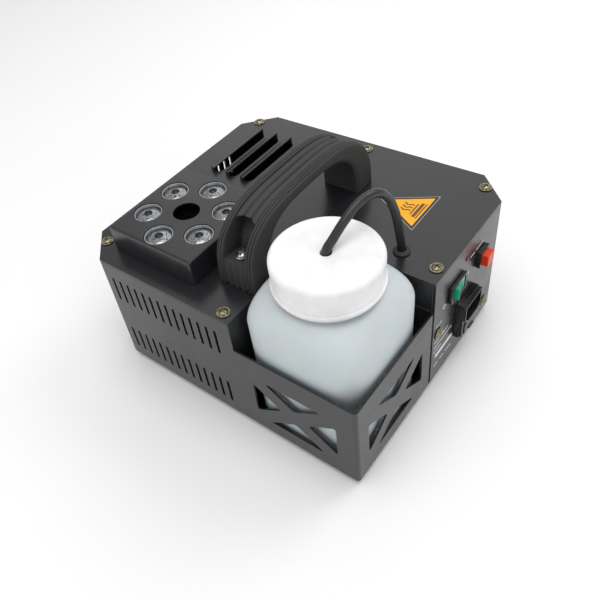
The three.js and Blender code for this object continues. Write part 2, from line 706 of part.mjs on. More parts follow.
function makeHose() {
  const route = new THREE.CatmullRomCurve3(vectors(HOSE_ROUTE), false, 'centripetal');
  place('suction_hose', tube(route, HOSE_R, 44, 8), HOSE_RUBBER);

  const grommet = turning(
    [
      [GROMMET.bore, LID_Z - 3],
      [GROMMET.outer, LID_Z - 3],
      [GROMMET.outer, LID_Z - GAP],
      [GROMMET.neck, LID_Z - GAP],
      [GROMMET.neck, CASE_H + GAP],
      [GROMMET.outer, CASE_H + GAP],
      [GROMMET.outer - 0.5, CASE_H + 2.2],
      [GROMMET.bore + 0.6, CASE_H + 2.8],
      [GROMMET.bore, CASE_H + 2.4],
      [GROMMET.bore, LID_Z - 3],
    ],
    GROMMET.x,
    GROMMET.y,
    24
  );
  place('hose_grommet', grommet, SOFT_RUBBER);

  const [x, y] = [JAR.x + 8, JAR.y - 8];
  const filter = turning([[0, 5], [5.5, 5], [6.5, 6.5], [6.5, 17], [4, 20.4], [0, 20.4]], x, y, 20);
  place('pickup_filter', filter, PUMP_NYLON);
}

// ---------------------------------------------------------------------------------------------------------------
// Fluid jar and its cap

// A ring round the jar's axis: a square of the given half width with rounded corners, which is a circle when the
// corner radius equals the half width.
function jarRing(half, corner, z) {
  const perCorner = 6;
  const ring = [];
  for (let q = 0; q < 4; q++) {
    for (let i = 0; i < perCorner; i++) {
      const angle = (q + i / (perCorner - 1)) * (Math.PI / 2) * 0.9999;
      const turn = (q + 0.5) * (Math.PI / 2);
      const [sx, sy] = [Math.sign(Math.cos(turn)), Math.sign(Math.sin(turn))];
      const reach = half - corner + 0.02;
      ring.push([JAR.x + sx * reach + corner * Math.cos(angle), JAR.y + sy * reach + corner * Math.sin(angle), z]);
    }
  }
  return ring;
}

function makeJar() {
  const { half, corner, foot, shoulder, wall } = JAR;
  // Shoulders sweep from the square body to the round neck as a quarter of an ellipse.
  const steps = 5;
  const sweep = (inset) =>
    Array.from({ length: steps }, (_, i) => {
      const a = (i / steps) * (Math.PI / 2);
      const inward = 1 - Math.cos(a);
      const side = half - (half - NECK.r) * inward;
      const round = corner + (NECK.r - corner) * inward;
      const z = shoulder + (NECK.base - shoulder) * Math.sin(a);
      return jarRing(side - inset, round - inset, z - inset);
    });
  const outer = [
    jarRing(half - 4, corner - 4, foot),
    jarRing(half - 1, corner - 1, foot + 1.2),
    jarRing(half, corner, foot + 4),
    ...sweep(0),
    jarRing(NECK.r, NECK.r, NECK.base),
    jarRing(NECK.r, NECK.r, NECK.top),
  ];
  const inner = [
    jarRing(NECK.r - wall, NECK.r - wall, NECK.top),
    jarRing(NECK.r - wall, NECK.r - wall, NECK.base - wall),
    ...sweep(wall).reverse(),
    jarRing(half - wall, corner - wall, foot + 5),
    jarRing(half - 4, corner - 4, foot + wall),
  ];
  const ring = turning(
    [
      [NECK.r - 0.8, NECK.ringZ],
      [NECK.ring, NECK.ringZ],
      [NECK.ring, NECK.ringZ + NECK.ringHeight],
      [NECK.r - 0.8, NECK.ringZ + NECK.ringHeight],
      [NECK.r - 0.8, NECK.ringZ],
    ],
    JAR.x,
    JAR.y,
    24
  );
  place('jar', join(loft([...outer, ...inner]), ring), JAR_PLASTIC);

  const under = CAP.top - CAP.wall;
  const cap = turning(
    [
      [CAP.hole, under],
      [NECK.r + 2, under],
      [NECK.r + 2, CAP.bottom],
      [CAP.bottomR, CAP.bottom],
      [CAP.bottomR, CAP.bottom + 2.5],
      [CAP.bottomR - 0.8, CAP.bottom + 3.2],
      [CAP.topR, CAP.top - 2.4],
      [CAP.topR - 0.8, CAP.top - 0.8],
      [CAP.topR - 2.6, CAP.top],
      [CAP.hole, CAP.top],
      [CAP.hole, under],
    ],
    JAR.x,
    JAR.y,
    28
  );
  place('jar_cap', cap, CAP_PLASTIC);

  const liner = turning(
    [
      [CAP.hole, NECK.top + GAP],
      [NECK.r + 1, NECK.top + GAP],
      [NECK.r + 1, under - GAP],
      [CAP.hole, under - GAP],
      [CAP.hole, NECK.top + GAP],
    ],
    JAR.x,
    JAR.y,
    24
  );
  place('cap_liner', liner, FOAM_LINER);
}

// ---------------------------------------------------------------------------------------------------------------
// Carrying handle

const handleScrewPlaces = () => [
  [HANDLE.x, HANDLE.y - HANDLE.front + HANDLE.foot / 2],
  [HANDLE.x, HANDLE.y + HANDLE.rear - HANDLE.foot / 2],
];

// The handle's arch as a rounded box curve, |y/a|^n + |z/h|^n = 1, from the front foot over to the rear one.
function arch(inset, height, steps) {
  return Array.from({ length: steps + 1 }, (_, i) => {
    const angle = Math.PI * (1 - i / steps);
    const [c, s] = [Math.cos(angle), Math.sin(angle)];
    const end = c < 0 ? 'front' : 'rear';
    const power = HANDLE_SHOULDER[end];
    const along = Math.sign(c) * Math.abs(c) ** (2 / power) * (HANDLE[end] - inset);
    return [HANDLE.y + along, CASE_H + GAP + Math.abs(s) ** (2 / power) * height];
  });
}

function makeHandle() {
  const { height, width, topWidth, thick, foot, x } = HANDLE;
  const outside = arch(0, height, 28);
  const insideArch = arch(foot, height - thick, 20).reverse();
  const side = prism(polygon([...outside, ...insideArch]), 'x', x - width / 2, x + width / 2);

  // Seen from the front the handle leans in from its feet to its grip.
  const [z0, z1] = [CASE_H, CASE_H + height + 1];
  const front = polygon([
    [x - width / 2, z0],
    [x + width / 2, z0],
    [x + width / 2, z0 + 12],
    [x + topWidth / 2, z1 - 4],
    [x + topWidth / 2 - 3, z1 + 0.2],
    [x - topWidth / 2 + 3, z1 + 0.2],
    [x - topWidth / 2, z1 - 4],
    [x - width / 2, z0 + 12],
  ]);
  const body = side.intersect(prism(front, 'y', FRONT, BACK));

  // Each foot has a well that opens upwards and outwards over its screw.
  const wells = handleScrewPlaces().map(([u, v], i) => {
    const direction = i ? 1 : -1;
    const outer = v + direction * 30;
    const inner = v - direction * HANDLE_WELL.reach;
    return block(
      [u - HANDLE_WELL.width / 2, u + HANDLE_WELL.width / 2],
      [Math.min(outer, inner), Math.max(outer, inner)],
      [CASE_H + HANDLE_WELL.floor, CASE_H + HANDLE_WELL.top]
    );
  });
  const holes = handleScrewPlaces().map((at) => rod('z', at, SCREW.hole, CASE_H, CASE_H + 30, 12));
  place('handle', cut(body, ...wells, ...holes), HANDLE_PLASTIC);

  ['front', 'rear'].forEach((end, i) => {
    const [u, v] = handleScrewPlaces()[i];
    const long = join(
      screw('z', [u, v], CASE_H + HANDLE_WELL.floor + GAP),
      rod('z', [u, v], SCREW.shank, LID_Z - 6, CASE_H + HANDLE_WELL.floor, 12)
    );
    place(`handle_screw_${end}`, long, BRIGHT_STEEL);
  });
}

// ---------------------------------------------------------------------------------------------------------------
// Control panel fittings

// The outline of the appliance inlet's socket: a rectangle whose two lower corners are cut off.
function socketShape(grow) {
  const [w, h] = [SOCKET.w / 2 + grow, SOCKET.h / 2 + grow];
  const c = SOCKET.cut;
  const rows = [
    [-w + c, -h],
    [w - c, -h],
    [w, -h + c],
    [w, h],
    [-w, h],
    [-w, -h + c],
  ];
  return polygon(rows.map(([y, z]) => [SOCKET.y + y, SOCKET.z + z]));
}

function makeInlet() {
  const face = RIGHT + GAP;
  const front = face + INLET.proud;
  const drawerZ = [INLET.z - INLET.h / 2 + 2.6, SOCKET.z - SOCKET.h / 2 - 2.2];
  const drawerY = [INLET.y - 10.5, INLET.y + 10.5];
  const housing = cut(
    join(
      prism(roundedRect(INLET.y, INLET.z, INLET.w, INLET.h, 2.4), 'x', face, front - 1.6, 3),
      prism(roundedRect(INLET.y, INLET.z, INLET.w - 2.4, INLET.h - 2.4, 1.6), 'x', face, front, 3),
      prism(socketShape(1.2), 'x', face, front + 1.4),
      block([RIGHT - 21, face + 1], [INLET.y - 12.6, INLET.y + 14.2], [INLET.z - 15.2, INLET.z + 15.2])
    ),
    prism(socketShape(0), 'x', front - SOCKET.depth, front + PAST),
    block([front - 20, front + PAST], drawerY, drawerZ)
  );
  place('mains_inlet', housing, BLACK_PLASTIC);

  // Three flat blades stand up from the floor of the socket.
  const blades = { line: [-7, -1.5], earth: [0, 2.5], neutral: [7, -1.5] };
  for (const [wire, [dy, dz]] of Object.entries(blades)) {
    const [y, z] = [SOCKET.y + dy, SOCKET.z + dz];
    const blade = block([front - SOCKET.depth + GAP, front - 3], [y - 1, y + 1], [z - 2, z + 2]);
    place(`inlet_blade_${wire}`, blade, BRASS);
  }

  const [y0, y1] = [drawerY[0] + GAP, drawerY[1] - GAP];
  const [zLow, zHigh] = [drawerZ[0] + GAP, drawerZ[1] - GAP];
  const drawer = cut(
    join(
      block([front - 19.4, front + 0.8], [y0, y1], [zLow, zHigh]),
      block([front + 0.5, front + 1.8], [INLET.y - 4, INLET.y + 4], [zLow + 0.6, zLow + 2])
    ),
    block([front - 18, front - 3], [y0 + 1.5, y1 - 1.5], [zLow + 1.4, zHigh + 1])
  );
  place('fuse_drawer', drawer, BLACK_PLASTIC);
  const fuseZ = (zLow + zHigh) / 2 + 0.5;
  place('fuse', rod('y', [front - 10.5, fuseZ], 2.3, y0 + 1.9, y1 - 1.9, 16), FUSE_GLASS);
}

function makeSwitches() {
  const face = RIGHT + GAP;
  const rockerWell = { w: ROCKER.w - 4.8, h: ROCKER.h - 4 };
  const rockerFrame = cut(
    join(
      prism(roundedRect(ROCKER.y, ROCKER.z, ROCKER.w, ROCKER.h, 1.4), 'x', face, face + ROCKER.proud, 3),
      prism(roundedRect(ROCKER.y, ROCKER.z, 20.2, 12, 0.6), 'x', face - 16, face + 1, 2)
    ),
    prism(roundedRect(ROCKER.y, ROCKER.z, rockerWell.w, rockerWell.h, 0.6), 'x', face - 11, face + PAST, 2)
  );
  place('rocker_frame', rockerFrame, BLACK_PLASTIC);

  // The rocker is a shallow V over its pivot, tipped with its far end pressed in.
  const tip = THREE.MathUtils.degToRad(ROCKER_TILT);
  const pivotX = face - 1;
  const halfLong = rockerWell.w / 2 - 1.2;
  const rockerShape = polygon([
    [pivotX - 2.6, -halfLong + 1.6],
    [pivotX + 5, -halfLong],
    [pivotX + 3.6, 0],
    [pivotX + 5, halfLong],
    [pivotX - 2.6, halfLong - 1.6],
  ]);
  const paddle = new THREE.ExtrudeGeometry(rockerShape, { depth: rockerWell.h - 0.8, bevelEnabled: false });
  paddle.translate(-pivotX, 0, ROCKER.z - rockerWell.h / 2 + 0.4);
  paddle.rotateZ(tip).translate(pivotX, ROCKER.y, 0);
  place('power_rocker', solid(paddle), GREEN_PLASTIC);

  const well = BUTTON.cap + 0.8;
  const buttonFrame = cut(
    join(
      prism(roundedRect(BUTTON.y, BUTTON.z, BUTTON.size, BUTTON.size, 1.2), 'x', face, face + BUTTON.proud, 3),
      prism(roundedRect(BUTTON.y, BUTTON.z, 11.9, 11.9, 0.6), 'x', face - 17, face + 1, 2)
    ),
    prism(roundedRect(BUTTON.y, BUTTON.z, well - 0.3, well - 0.3, 0.5), 'x', face - 12, face + PAST, 2)
  );
  place('button_frame', buttonFrame, BLACK_PLASTIC);
  const capBody = prism(
    roundedRect(BUTTON.y, BUTTON.z, BUTTON.cap - 0.2, BUTTON.cap - 0.2, 0.8),
    'x',
    face - 6,
    RIGHT + FITTINGS_PROUD,
    3
  );
  place('button_cap', capBody, RED_PLASTIC);

  const lamp = join(
    rod('x', [LAMP_HOLE.y, LAMP_HOLE.z], LAMP_HOLE.r - GAP, RIGHT - 8, RIGHT + 0.6, 16),
    rod('x', [LAMP_HOLE.y, LAMP_HOLE.z], LAMP_HOLE.r + 0.6, RIGHT - 8, RIGHT - SHEET - GAP, 16)
  );
  place('status_lamp', lamp, LAMP_RED);
}

// ---------------------------------------------------------------------------------------------------------------
// Circuit boards and the hazard label

function makeBoards() {
  const z = 12;
  const [x0, x1, y0, y1] = [-108, -22, 12, 96];
  const legs = [
    [x0 + 5, y0 + 5],
    [x1 - 5, y0 + 5],
    [x0 + 5, y1 - 5],
    [x1 - 5, y1 - 5],
  ];
  const board = join(
    block([x0, x1], [y0, y1], [z, z + 1.6]),
    ...legs.map((at) => rod('z', at, 3, WALL_FOOT, z + 0.5, 10)),
    block([x0 + 8, x0 + 40], [y0 + 10, y0 + 38], [z + 1, z + 27]),
    block([x0 + 52, x0 + 70], [y0 + 12, y0 + 24], [z + 1, z + 17]),
    block([x0 + 52, x0 + 70], [y0 + 30, y0 + 42], [z + 1, z + 17]),
    block([x0 + 10, x0 + 60], [y1 - 14, y1 - 4], [z + 1, z + 12]),
    rod('z', [x0 + 20, y0 + 54], 6, z + 1, z + 18, 16),
    rod('z', [x0 + 38, y0 + 54], 6, z + 1, z + 18, 16)
  );
  place('control_board', board, BOARD_GREEN);

  const driver = join(
    block([-20, 18], [70, 104], [z, z + 1.6]),
    rod('z', [-15, 75], 3, WALL_FOOT, z + 0.5, 10),
    rod('z', [13, 99], 3, WALL_FOOT, z + 0.5, 10),
    block([-12, 8], [78, 96], [z + 1, z + 14])
  );
  place('lamp_driver', driver, BOARD_GREEN);
}

function makeLabel() {
  const side = 46.3;
  const [x, y] = [71.2, 50.7];
  const r = side / Math.sqrt(3);
  const corners = [0, 1, 2].map((i) => {
    const angle = (i * 2 * Math.PI) / 3 + Math.PI;
    return [x + r * Math.cos(angle), y + r * Math.sin(angle)];
  });
  const base = CASE_H + GAP / 3;
  place('hazard_label', prism(softTriangle(corners, 2), 'z', base, base + 0.25, 4), LABEL_AMBER);
}

makeCase();
makeLid();
makeFasteners();
makeDeck();
makeHeater();
makePump();
makeHose();
makeJar();
makeHandle();
makeInlet();
makeSwitches();
makeBoards();
makeLabel();

export default fogMachine;
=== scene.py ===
"""Portable stage fog machine: the visible pieces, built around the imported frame.

The sheet-metal pieces and panel fittings are eased copies of the frame's own solids. The handle, jar, cap,
hose, lamps, screws, grommet and label are surfaces worked out on grids. Lengths are in metres and +Z is up.
Pieces are placed from the frame's nodes, apart from the hose's route, the panel's marks and a few heights on
the jar, which are counted from the case or the floor.
"""

import json
import math

import bmesh
import bpy
import numpy as np
from bpy.props import FloatProperty, FloatVectorProperty, IntProperty, PointerProperty
from mathutils import Matrix, Vector

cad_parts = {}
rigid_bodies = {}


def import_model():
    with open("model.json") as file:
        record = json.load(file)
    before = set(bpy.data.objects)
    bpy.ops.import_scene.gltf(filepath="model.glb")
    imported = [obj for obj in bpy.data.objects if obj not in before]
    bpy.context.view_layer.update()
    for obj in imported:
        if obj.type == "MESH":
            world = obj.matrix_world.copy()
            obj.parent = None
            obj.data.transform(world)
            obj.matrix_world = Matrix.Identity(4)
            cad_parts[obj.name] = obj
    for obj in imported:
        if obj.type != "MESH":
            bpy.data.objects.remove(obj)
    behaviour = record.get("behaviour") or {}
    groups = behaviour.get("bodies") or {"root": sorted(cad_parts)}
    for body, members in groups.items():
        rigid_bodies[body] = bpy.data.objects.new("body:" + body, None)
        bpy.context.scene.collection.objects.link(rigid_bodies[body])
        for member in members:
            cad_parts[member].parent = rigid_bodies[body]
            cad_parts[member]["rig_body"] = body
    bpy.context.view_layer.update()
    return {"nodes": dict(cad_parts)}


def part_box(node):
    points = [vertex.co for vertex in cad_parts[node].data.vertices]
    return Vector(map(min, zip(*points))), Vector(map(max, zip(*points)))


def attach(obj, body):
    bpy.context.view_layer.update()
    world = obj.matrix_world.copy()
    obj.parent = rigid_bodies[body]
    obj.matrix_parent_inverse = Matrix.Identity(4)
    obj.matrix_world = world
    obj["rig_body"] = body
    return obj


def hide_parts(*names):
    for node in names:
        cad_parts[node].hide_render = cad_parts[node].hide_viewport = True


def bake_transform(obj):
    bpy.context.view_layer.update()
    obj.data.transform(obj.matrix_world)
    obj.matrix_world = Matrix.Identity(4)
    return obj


bl_info = {
    "name": "Stage fog machine",
    "version": (1, 0, 0),
    "blender": (4, 5, 0),
    "location": "View3D > Sidebar > Fog machine",
    "description": "Builds the visible pieces of a portable stage fog machine around its frame",
    "category": "Object",
}

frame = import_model()

MM = 0.001
TURN = 2 * math.pi
HAIR = 0.03 * MM  # how far print stands off the surface under it

SHEET_METAL = ["side_wrap", "rear_wrap", "control_panel", "bay_wall", "top_plate", "nozzle_deck"]
LID_SCREWS = [f"lid_screw_{i}" for i in range(1, 7)]
PANEL_SCREWS = ["panel_screw_1", "panel_screw_2"]
HANDLE_SCREWS = ["handle_screw_front", "handle_screw_rear"]
LENSES = [f"lamp_lens_{i}" for i in range(1, 7)]
FEET = [f"foot_{i}" for i in range(1, 5)]
BLADES = ["inlet_blade_line", "inlet_blade_earth", "inlet_blade_neutral"]

# The hose's route in millimetres, counted from the middle of the case's lower edge.
CASE_ORIGIN = np.array([-4.25, 0.0, 5.0])
HOSE_ROUTE = np.array(
    [
        (74.0, 3.7, 46.0),
        (74.0, 1.0, 46.0),
        (79.0, -3.0, 54.0),
        (86.5, 2.0, 74.0),
        (89.5, 5.0, 93.0),
        (89.5, 5.0, 110.0),
        (89.0, 2.8, 124.0),
        (88.5, 0.3, 137.0),
        (87.8, -3.0, 149.5),
        (86.6, -8.4, 161.5),
        (85.1, -15.6, 169.8),
        (83.0, -25.4, 173.8),
        (80.6, -36.0, 172.4),
        (78.4, -46.6, 166.8),
        (76.2, -55.8, 159.2),
        (74.7, -62.4, 153.1),
        (74.7, -62.4, 138.6),
        (74.7, -62.4, 90.0),
        (78.7, -66.4, 55.0),
        (82.7, -70.4, 28.0),
        (82.7, -70.4, 20.7),
    ]
)
HOSE_STEPS = 12  # steps of the smoothed route between two points of the list
GROMMET_POINT = 5  # the point of the route that stands in the grommet
LIGHT_DISTANCE = 1.5  # from the machine to each soft box


# --------------------------------------------------------------------------------------------------------
# Settings


class StageSettings(bpy.types.PropertyGroup):
    azimuth: FloatProperty(
        name="Azimuth",
        description="Camera's direction round the machine",
        default=math.radians(45.50),
        subtype="ANGLE",
    )
    elevation: FloatProperty(
        name="Elevation", description="Camera's height angle", default=math.radians(43.33), subtype="ANGLE"
    )
    roll: FloatProperty(
        name="Roll", description="Camera's tilt", default=math.radians(-10.62), subtype="ANGLE"
    )
    eye: FloatVectorProperty(
        name="Eye", description="Camera's place", default=(0.25459, -0.30522, 0.42821), subtype="TRANSLATION"
    )
    focal: FloatProperty(
        name="Focal length", description="Lens, in millimetres", default=39.744, unit="CAMERA"
    )
    shift: FloatVectorProperty(name="Shift", description="Lens shift", size=2, default=(0.07, -0.0308))
    sky: FloatProperty(name="Sky", description="Strength of the even light all round", default=0.54)
    key: FloatProperty(
        name="Key light", description="Power of the soft box before the slotted side", default=3.5
    )
    fill: FloatProperty(
        name="Fill light", description="Power of the soft box before the panel", default=2.5
    )
    top: FloatProperty(name="Top light", description="Power of the soft box over the machine", default=9.0)
    rear: FloatProperty(name="Rear light", description="Power of the soft box the lid mirrors", default=2.4)
    rim: FloatProperty(
        name="Rim light", description="Power of the soft box behind the panel's side", default=5.0
    )
    floor: FloatVectorProperty(
        name="Floor", description="Floor colour", default=(0.93, 0.93, 0.93), subtype="COLOR"
    )


class CaseSettings(bpy.types.PropertyGroup):
    easing: FloatProperty(
        name="Edge easing", description="Width of the round on sheet edges", default=0.32 * MM, unit="LENGTH"
    )
    coat: FloatVectorProperty(
        name="Powder coat",
        description="Colour of the coating",
        default=(0.014, 0.0145, 0.0165),
        subtype="COLOR",
    )


class HandleSettings(bpy.types.PropertyGroup):
    peak: FloatProperty(
        name="Peak", description="Where the front curve meets the rear one, along the handle", default=0.482
    )
    foot_depth: FloatProperty(name="Foot depth", description="Foot's depth", default=22 * MM, unit="LENGTH")
    grip_depth: FloatProperty(
        name="Grip depth", description="Grip's thickness", default=9 * MM, unit="LENGTH"
    )
    grip_width: FloatProperty(
        name="Grip width", description="Width over the grip", default=30.5 * MM, unit="LENGTH"
    )
    rib_depth: FloatProperty(
        name="Rib depth", description="Depth of the grooves", default=2.3 * MM, unit="LENGTH"
    )
    well_width: FloatProperty(
        name="Well width", description="Width of a screw well", default=19 * MM, unit="LENGTH"
    )
    ledge: FloatProperty(
        name="Ledge", description="Height of a well's floor", default=22 * MM, unit="LENGTH"
    )
    plastic: FloatVectorProperty(
        name="Plastic", description="Colour of the handle", default=(0.011, 0.0112, 0.0125), subtype="COLOR"
    )


class JarSettings(bpy.types.PropertyGroup):
    squareness: FloatProperty(name="Squareness", description="Power of the jar's square plan", default=4.5)
    wall: FloatProperty(
        name="Wall", description="Thickness of the jar's wall", default=1.7 * MM, unit="LENGTH"
    )
    fillet: FloatProperty(
        name="Cap fillet", description="Round of the cap's top edge", default=3.4 * MM, unit="LENGTH"
    )
    plastic: FloatVectorProperty(
        name="Jar plastic", description="Colour of the jar", default=(0.665, 0.67, 0.69), subtype="COLOR"
    )


class HoseSettings(bpy.types.PropertyGroup):
    diameter: FloatProperty(
        name="Hose diameter", description="Outer diameter", default=6.0 * MM, unit="LENGTH"
    )
    sides: IntProperty(name="Hose sides", description="Points round the hose", default=28)


class LampSettings(bpy.types.PropertyGroup):
    facets: IntProperty(name="Facets", description="Mosaic facets round a lens", default=30)
    rows: IntProperty(name="Rows", description="Mosaic rows from rim to middle", default=7)


class LabelSettings(bpy.types.PropertyGroup):
    border: FloatProperty(
        name="Border", description="Width of the black border", default=1.9 * MM, unit="LENGTH"
    )
    amber: FloatVectorProperty(
        name="Field", description="Colour of the label's field", default=(0.84, 0.47, 0.02), subtype="COLOR"
    )


SETTINGS = {
    "fog_stage": StageSettings,
    "fog_case": CaseSettings,
    "fog_handle": HandleSettings,
    "fog_jar": JarSettings,
    "fog_hose": HoseSettings,
    "fog_lamps": LampSettings,
    "fog_label": LabelSettings,
}


# --------------------------------------------------------------------------------------------------------
# Surfaces


def outward(points, faces):
    """The faces turned so that they point out of the solid: one sixth of the sum of a . (b x c) over the
    fan of each face is its volume, and a negative volume turns every face round."""
    corner = [points[faces[:, i]] for i in range(4)]
    fan = np.cross(corner[1], corner[2]) + np.cross(corner[2], corner[3])
    return faces if np.einsum("ij,ij->", corner[0], fan) > 0 else faces[:, ::-1]


def shell(rings, closed=False):
    """Rings of points, shaped (rings, points round, 3), joined each to the next. A closed shell joins its
    last ring to its first, as a torus does; an open one is shut by a fan to the middle of each end ring."""
    rows, columns = rings.shape[:2]
    lower = np.arange(rows if closed else rows - 1)[:, None]
    upper = (lower + 1) % rows
    here = np.arange(columns)[None, :]
    after = (here + 1) % columns
    corners = [
        lower * columns + here, lower * columns + after, upper * columns + after, upper * columns + here
    ]
    faces = np.stack(corners, axis=-1).reshape(-1, 4)
    points = rings.reshape(-1, 3)
    if not closed:
        pole = len(points)
        first, last = here[0], (rows - 1) * columns
        bottom = np.stack([np.full(columns, pole), after[0], first, first], axis=-1)
        top = np.stack(
            [np.full(columns, pole + 1), last + first, last + after[0], last + after[0]], axis=-1
        )
        points = np.vstack([points, rings[0].mean(0), rings[-1].mean(0)])
        faces = np.vstack([faces, bottom, top])
    return points, outward(points, faces)


def lathe(profile, middle, columns=96):
    """Rings from a profile of (radius, height) rows turned about an upright axis through the middle."""
    angle = np.arange(columns) / columns * TURN
    radius, height = np.asarray(profile, float).T
    x = middle[0] + radius[:, None] * np.cos(angle)
    y = middle[1] + radius[:, None] * np.sin(angle)
    return np.stack([x, y, np.broadcast_to(height[:, None], x.shape)], axis=-1)


def rounded(profile, radius, steps=6):
    """A closed profile whose corners are replaced by quadratic curves that start and end radius along each
    side."""
    corners = np.asarray(profile, float)
    before, after = np.roll(corners, 1, 0) - corners, np.roll(corners, -1, 0) - corners
    span_before = np.linalg.norm(before, axis=1, keepdims=True)
    span_after = np.linalg.norm(after, axis=1, keepdims=True)
    reach = np.minimum(radius, 0.45 * np.minimum(span_before, span_after))
    start, end = corners + before / span_before * reach, corners + after / span_after * reach
    t = np.linspace(0, 1, steps)[None, :, None]
    curve = (1 - t) ** 2 * start[:, None] + 2 * t * (1 - t) * corners[:, None] + t**2 * end[:, None]
    return curve.reshape(-1, corners.shape[1])


def box_shell(low, high):
    """A block as two rings of a rectangle, whose corners are rounded by a thousandth of a millimetre."""
    across = [(low[1], low[2]), (high[1], low[2]), (high[1], high[2]), (low[1], high[2])]
    outline = rounded(across, 1e-6, 4)
    return np.stack([np.column_stack([np.full(len(outline), x), outline]) for x in (low[0], high[0])])


def sweep(path, radius, sides):
    """A round tube: at each point of the path a circle across it, carried along without twist by projecting
    the last circle's first direction onto the next crossing plane."""
    path = np.asarray(path, float)
    tangent = np.gradient(path, axis=0)
    tangent /= np.linalg.norm(tangent, axis=1, keepdims=True)
    side = np.cross(tangent[0], (0.0, 1.0, 0.0))
    sides_along = []
    for direction in tangent:
        side = side - direction * (side @ direction)
        side = side / np.linalg.norm(side)
        sides_along.append(side)
    across = np.array(sides_along)[:, None]
    over = np.cross(tangent[:, None], across)
    angle = (np.arange(sides) / sides * TURN)[None, :, None]
    reach = np.broadcast_to(np.asarray(radius, float), len(path))[:, None, None]
    return path[:, None] + reach * (across * np.cos(angle) + over * np.sin(angle))


def smooth_route(points, per_span):
    """A centripetal Catmull-Rom curve: between two points, straight blends of blends weighted by knots that
    are spaced by the square root of each span. A reflected point is added at each end."""
    points = np.vstack([2 * points[0] - points[1], points, 2 * points[-1] - points[-2]])
    pieces = []
    for i in range(1, len(points) - 2):
        p = points[i - 1 : i + 3]
        knots = np.concatenate([[0], np.cumsum(np.sqrt(np.linalg.norm(np.diff(p, axis=0), axis=1)))])
        t = np.linspace(knots[1], knots[2], per_span, endpoint=False)[:, None]

        def between(a, b, first, last):
            return (last - t) / (last - first) * a + (t - first) / (last - first) * b

        a = [between(p[k], p[k + 1], knots[k], knots[k + 1]) for k in range(3)]
        b = [between(a[k], a[k + 1], knots[k], knots[k + 2]) for k in range(2)]
        pieces.append(between(b[0], b[1], knots[1], knots[2]))
    return np.vstack([*pieces, points[-2]])


def step_in(distance, width):
    """0 below -width, 1 above width, and a smooth rise between."""
    t = np.clip((np.asarray(distance) + width) / (2 * width), 0, 1)
    return t * t * (3 - 2 * t)


def build(name, shells, materials, body, replaces=(), flat=False, sharp=38.0):
    """One object from several shells, each a (points, faces) pair, riding on a body. The shells take the
    materials in turn, and those past the last material share it. A corner that repeats the one before it is
    left out."""
    points = np.vstack([s[0] for s in shells])
    starts = np.cumsum([0] + [len(s[0]) for s in shells[:-1]])
    quads = np.vstack([s[1] + start for s, start in zip(shells, starts)])
    kept = quads != np.roll(quads, 1, axis=1)
    faces = np.split(quads[kept], np.cumsum(kept.sum(axis=1))[:-1])
    painted = np.repeat(np.arange(len(shells)), [len(s[1]) for s in shells])
    mesh = bpy.data.meshes.new(name)
    mesh.from_pydata(points.tolist(), [], faces)
    for material in materials:
        mesh.materials.append(material)
    mesh.polygons.foreach_set("material_index", np.minimum(painted, len(materials) - 1))
    mesh.polygons.foreach_set("use_smooth", [not flat] * len(faces))
    mesh.update()
    if not flat:
        mesh.set_sharp_from_angle(angle=math.radians(sharp))
    piece = bpy.data.objects.new(name, mesh)
    bpy.context.scene.collection.objects.link(piece)
    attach(piece, body)
    if replaces:
        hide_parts(*replaces)
    return piece


def eased_copy(node, material, width, segments=2):
    """A copy of a node's solid with its triangles merged, its flat faces made whole, and its edges
    eased."""
    merging, flatness, sharpest = 2e-6, math.radians(0.6), math.radians(42.0)
    source = frame["nodes"][node]
    work = bmesh.new()
    work.from_mesh(source.data)
    bmesh.ops.remove_doubles(work, verts=work.verts, dist=merging)
    bmesh.ops.dissolve_limit(work, angle_limit=flatness, verts=work.verts, edges=work.edges)
    work.verts.index_update()
    points = [v.co[:] for v in work.verts]
    faces = [[v.index for v in f.verts] for f in work.faces]
    work.free()
    mesh = bpy.data.meshes.new(node + "_eased")
    mesh.from_pydata(points, [], faces)
    mesh.materials.append(material)
    mesh.polygons.foreach_set("use_smooth", [True] * len(faces))
    mesh.update()
    piece = bpy.data.objects.new(node + "_eased", mesh)
    bpy.context.scene.collection.objects.link(piece)
    bevel = piece.modifiers.new("Easing", "BEVEL")
    bevel.width = width
    bevel.segments = segments
    bevel.limit_method = "ANGLE"
    bevel.angle_limit = sharpest
    bevel.use_clamp_overlap = True
    weighted = piece.modifiers.new("Flat faces", "WEIGHTED_NORMAL")
    weighted.weight = 100
    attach(piece, source["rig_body"])
    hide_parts(node)
    return piece


# --------------------------------------------------------------------------------------------------------
# Finishes


def tone(red, green, blue):
    """A colour as Blender's shaders want it, from the usual 0 to 255 values."""
    c = np.array([red, green, blue]) / 255
    linear = np.where(c <= 0.04045, c / 12.92, ((c + 0.055) / 1.055) ** 2.4)
    return (*linear.tolist(), 1.0)


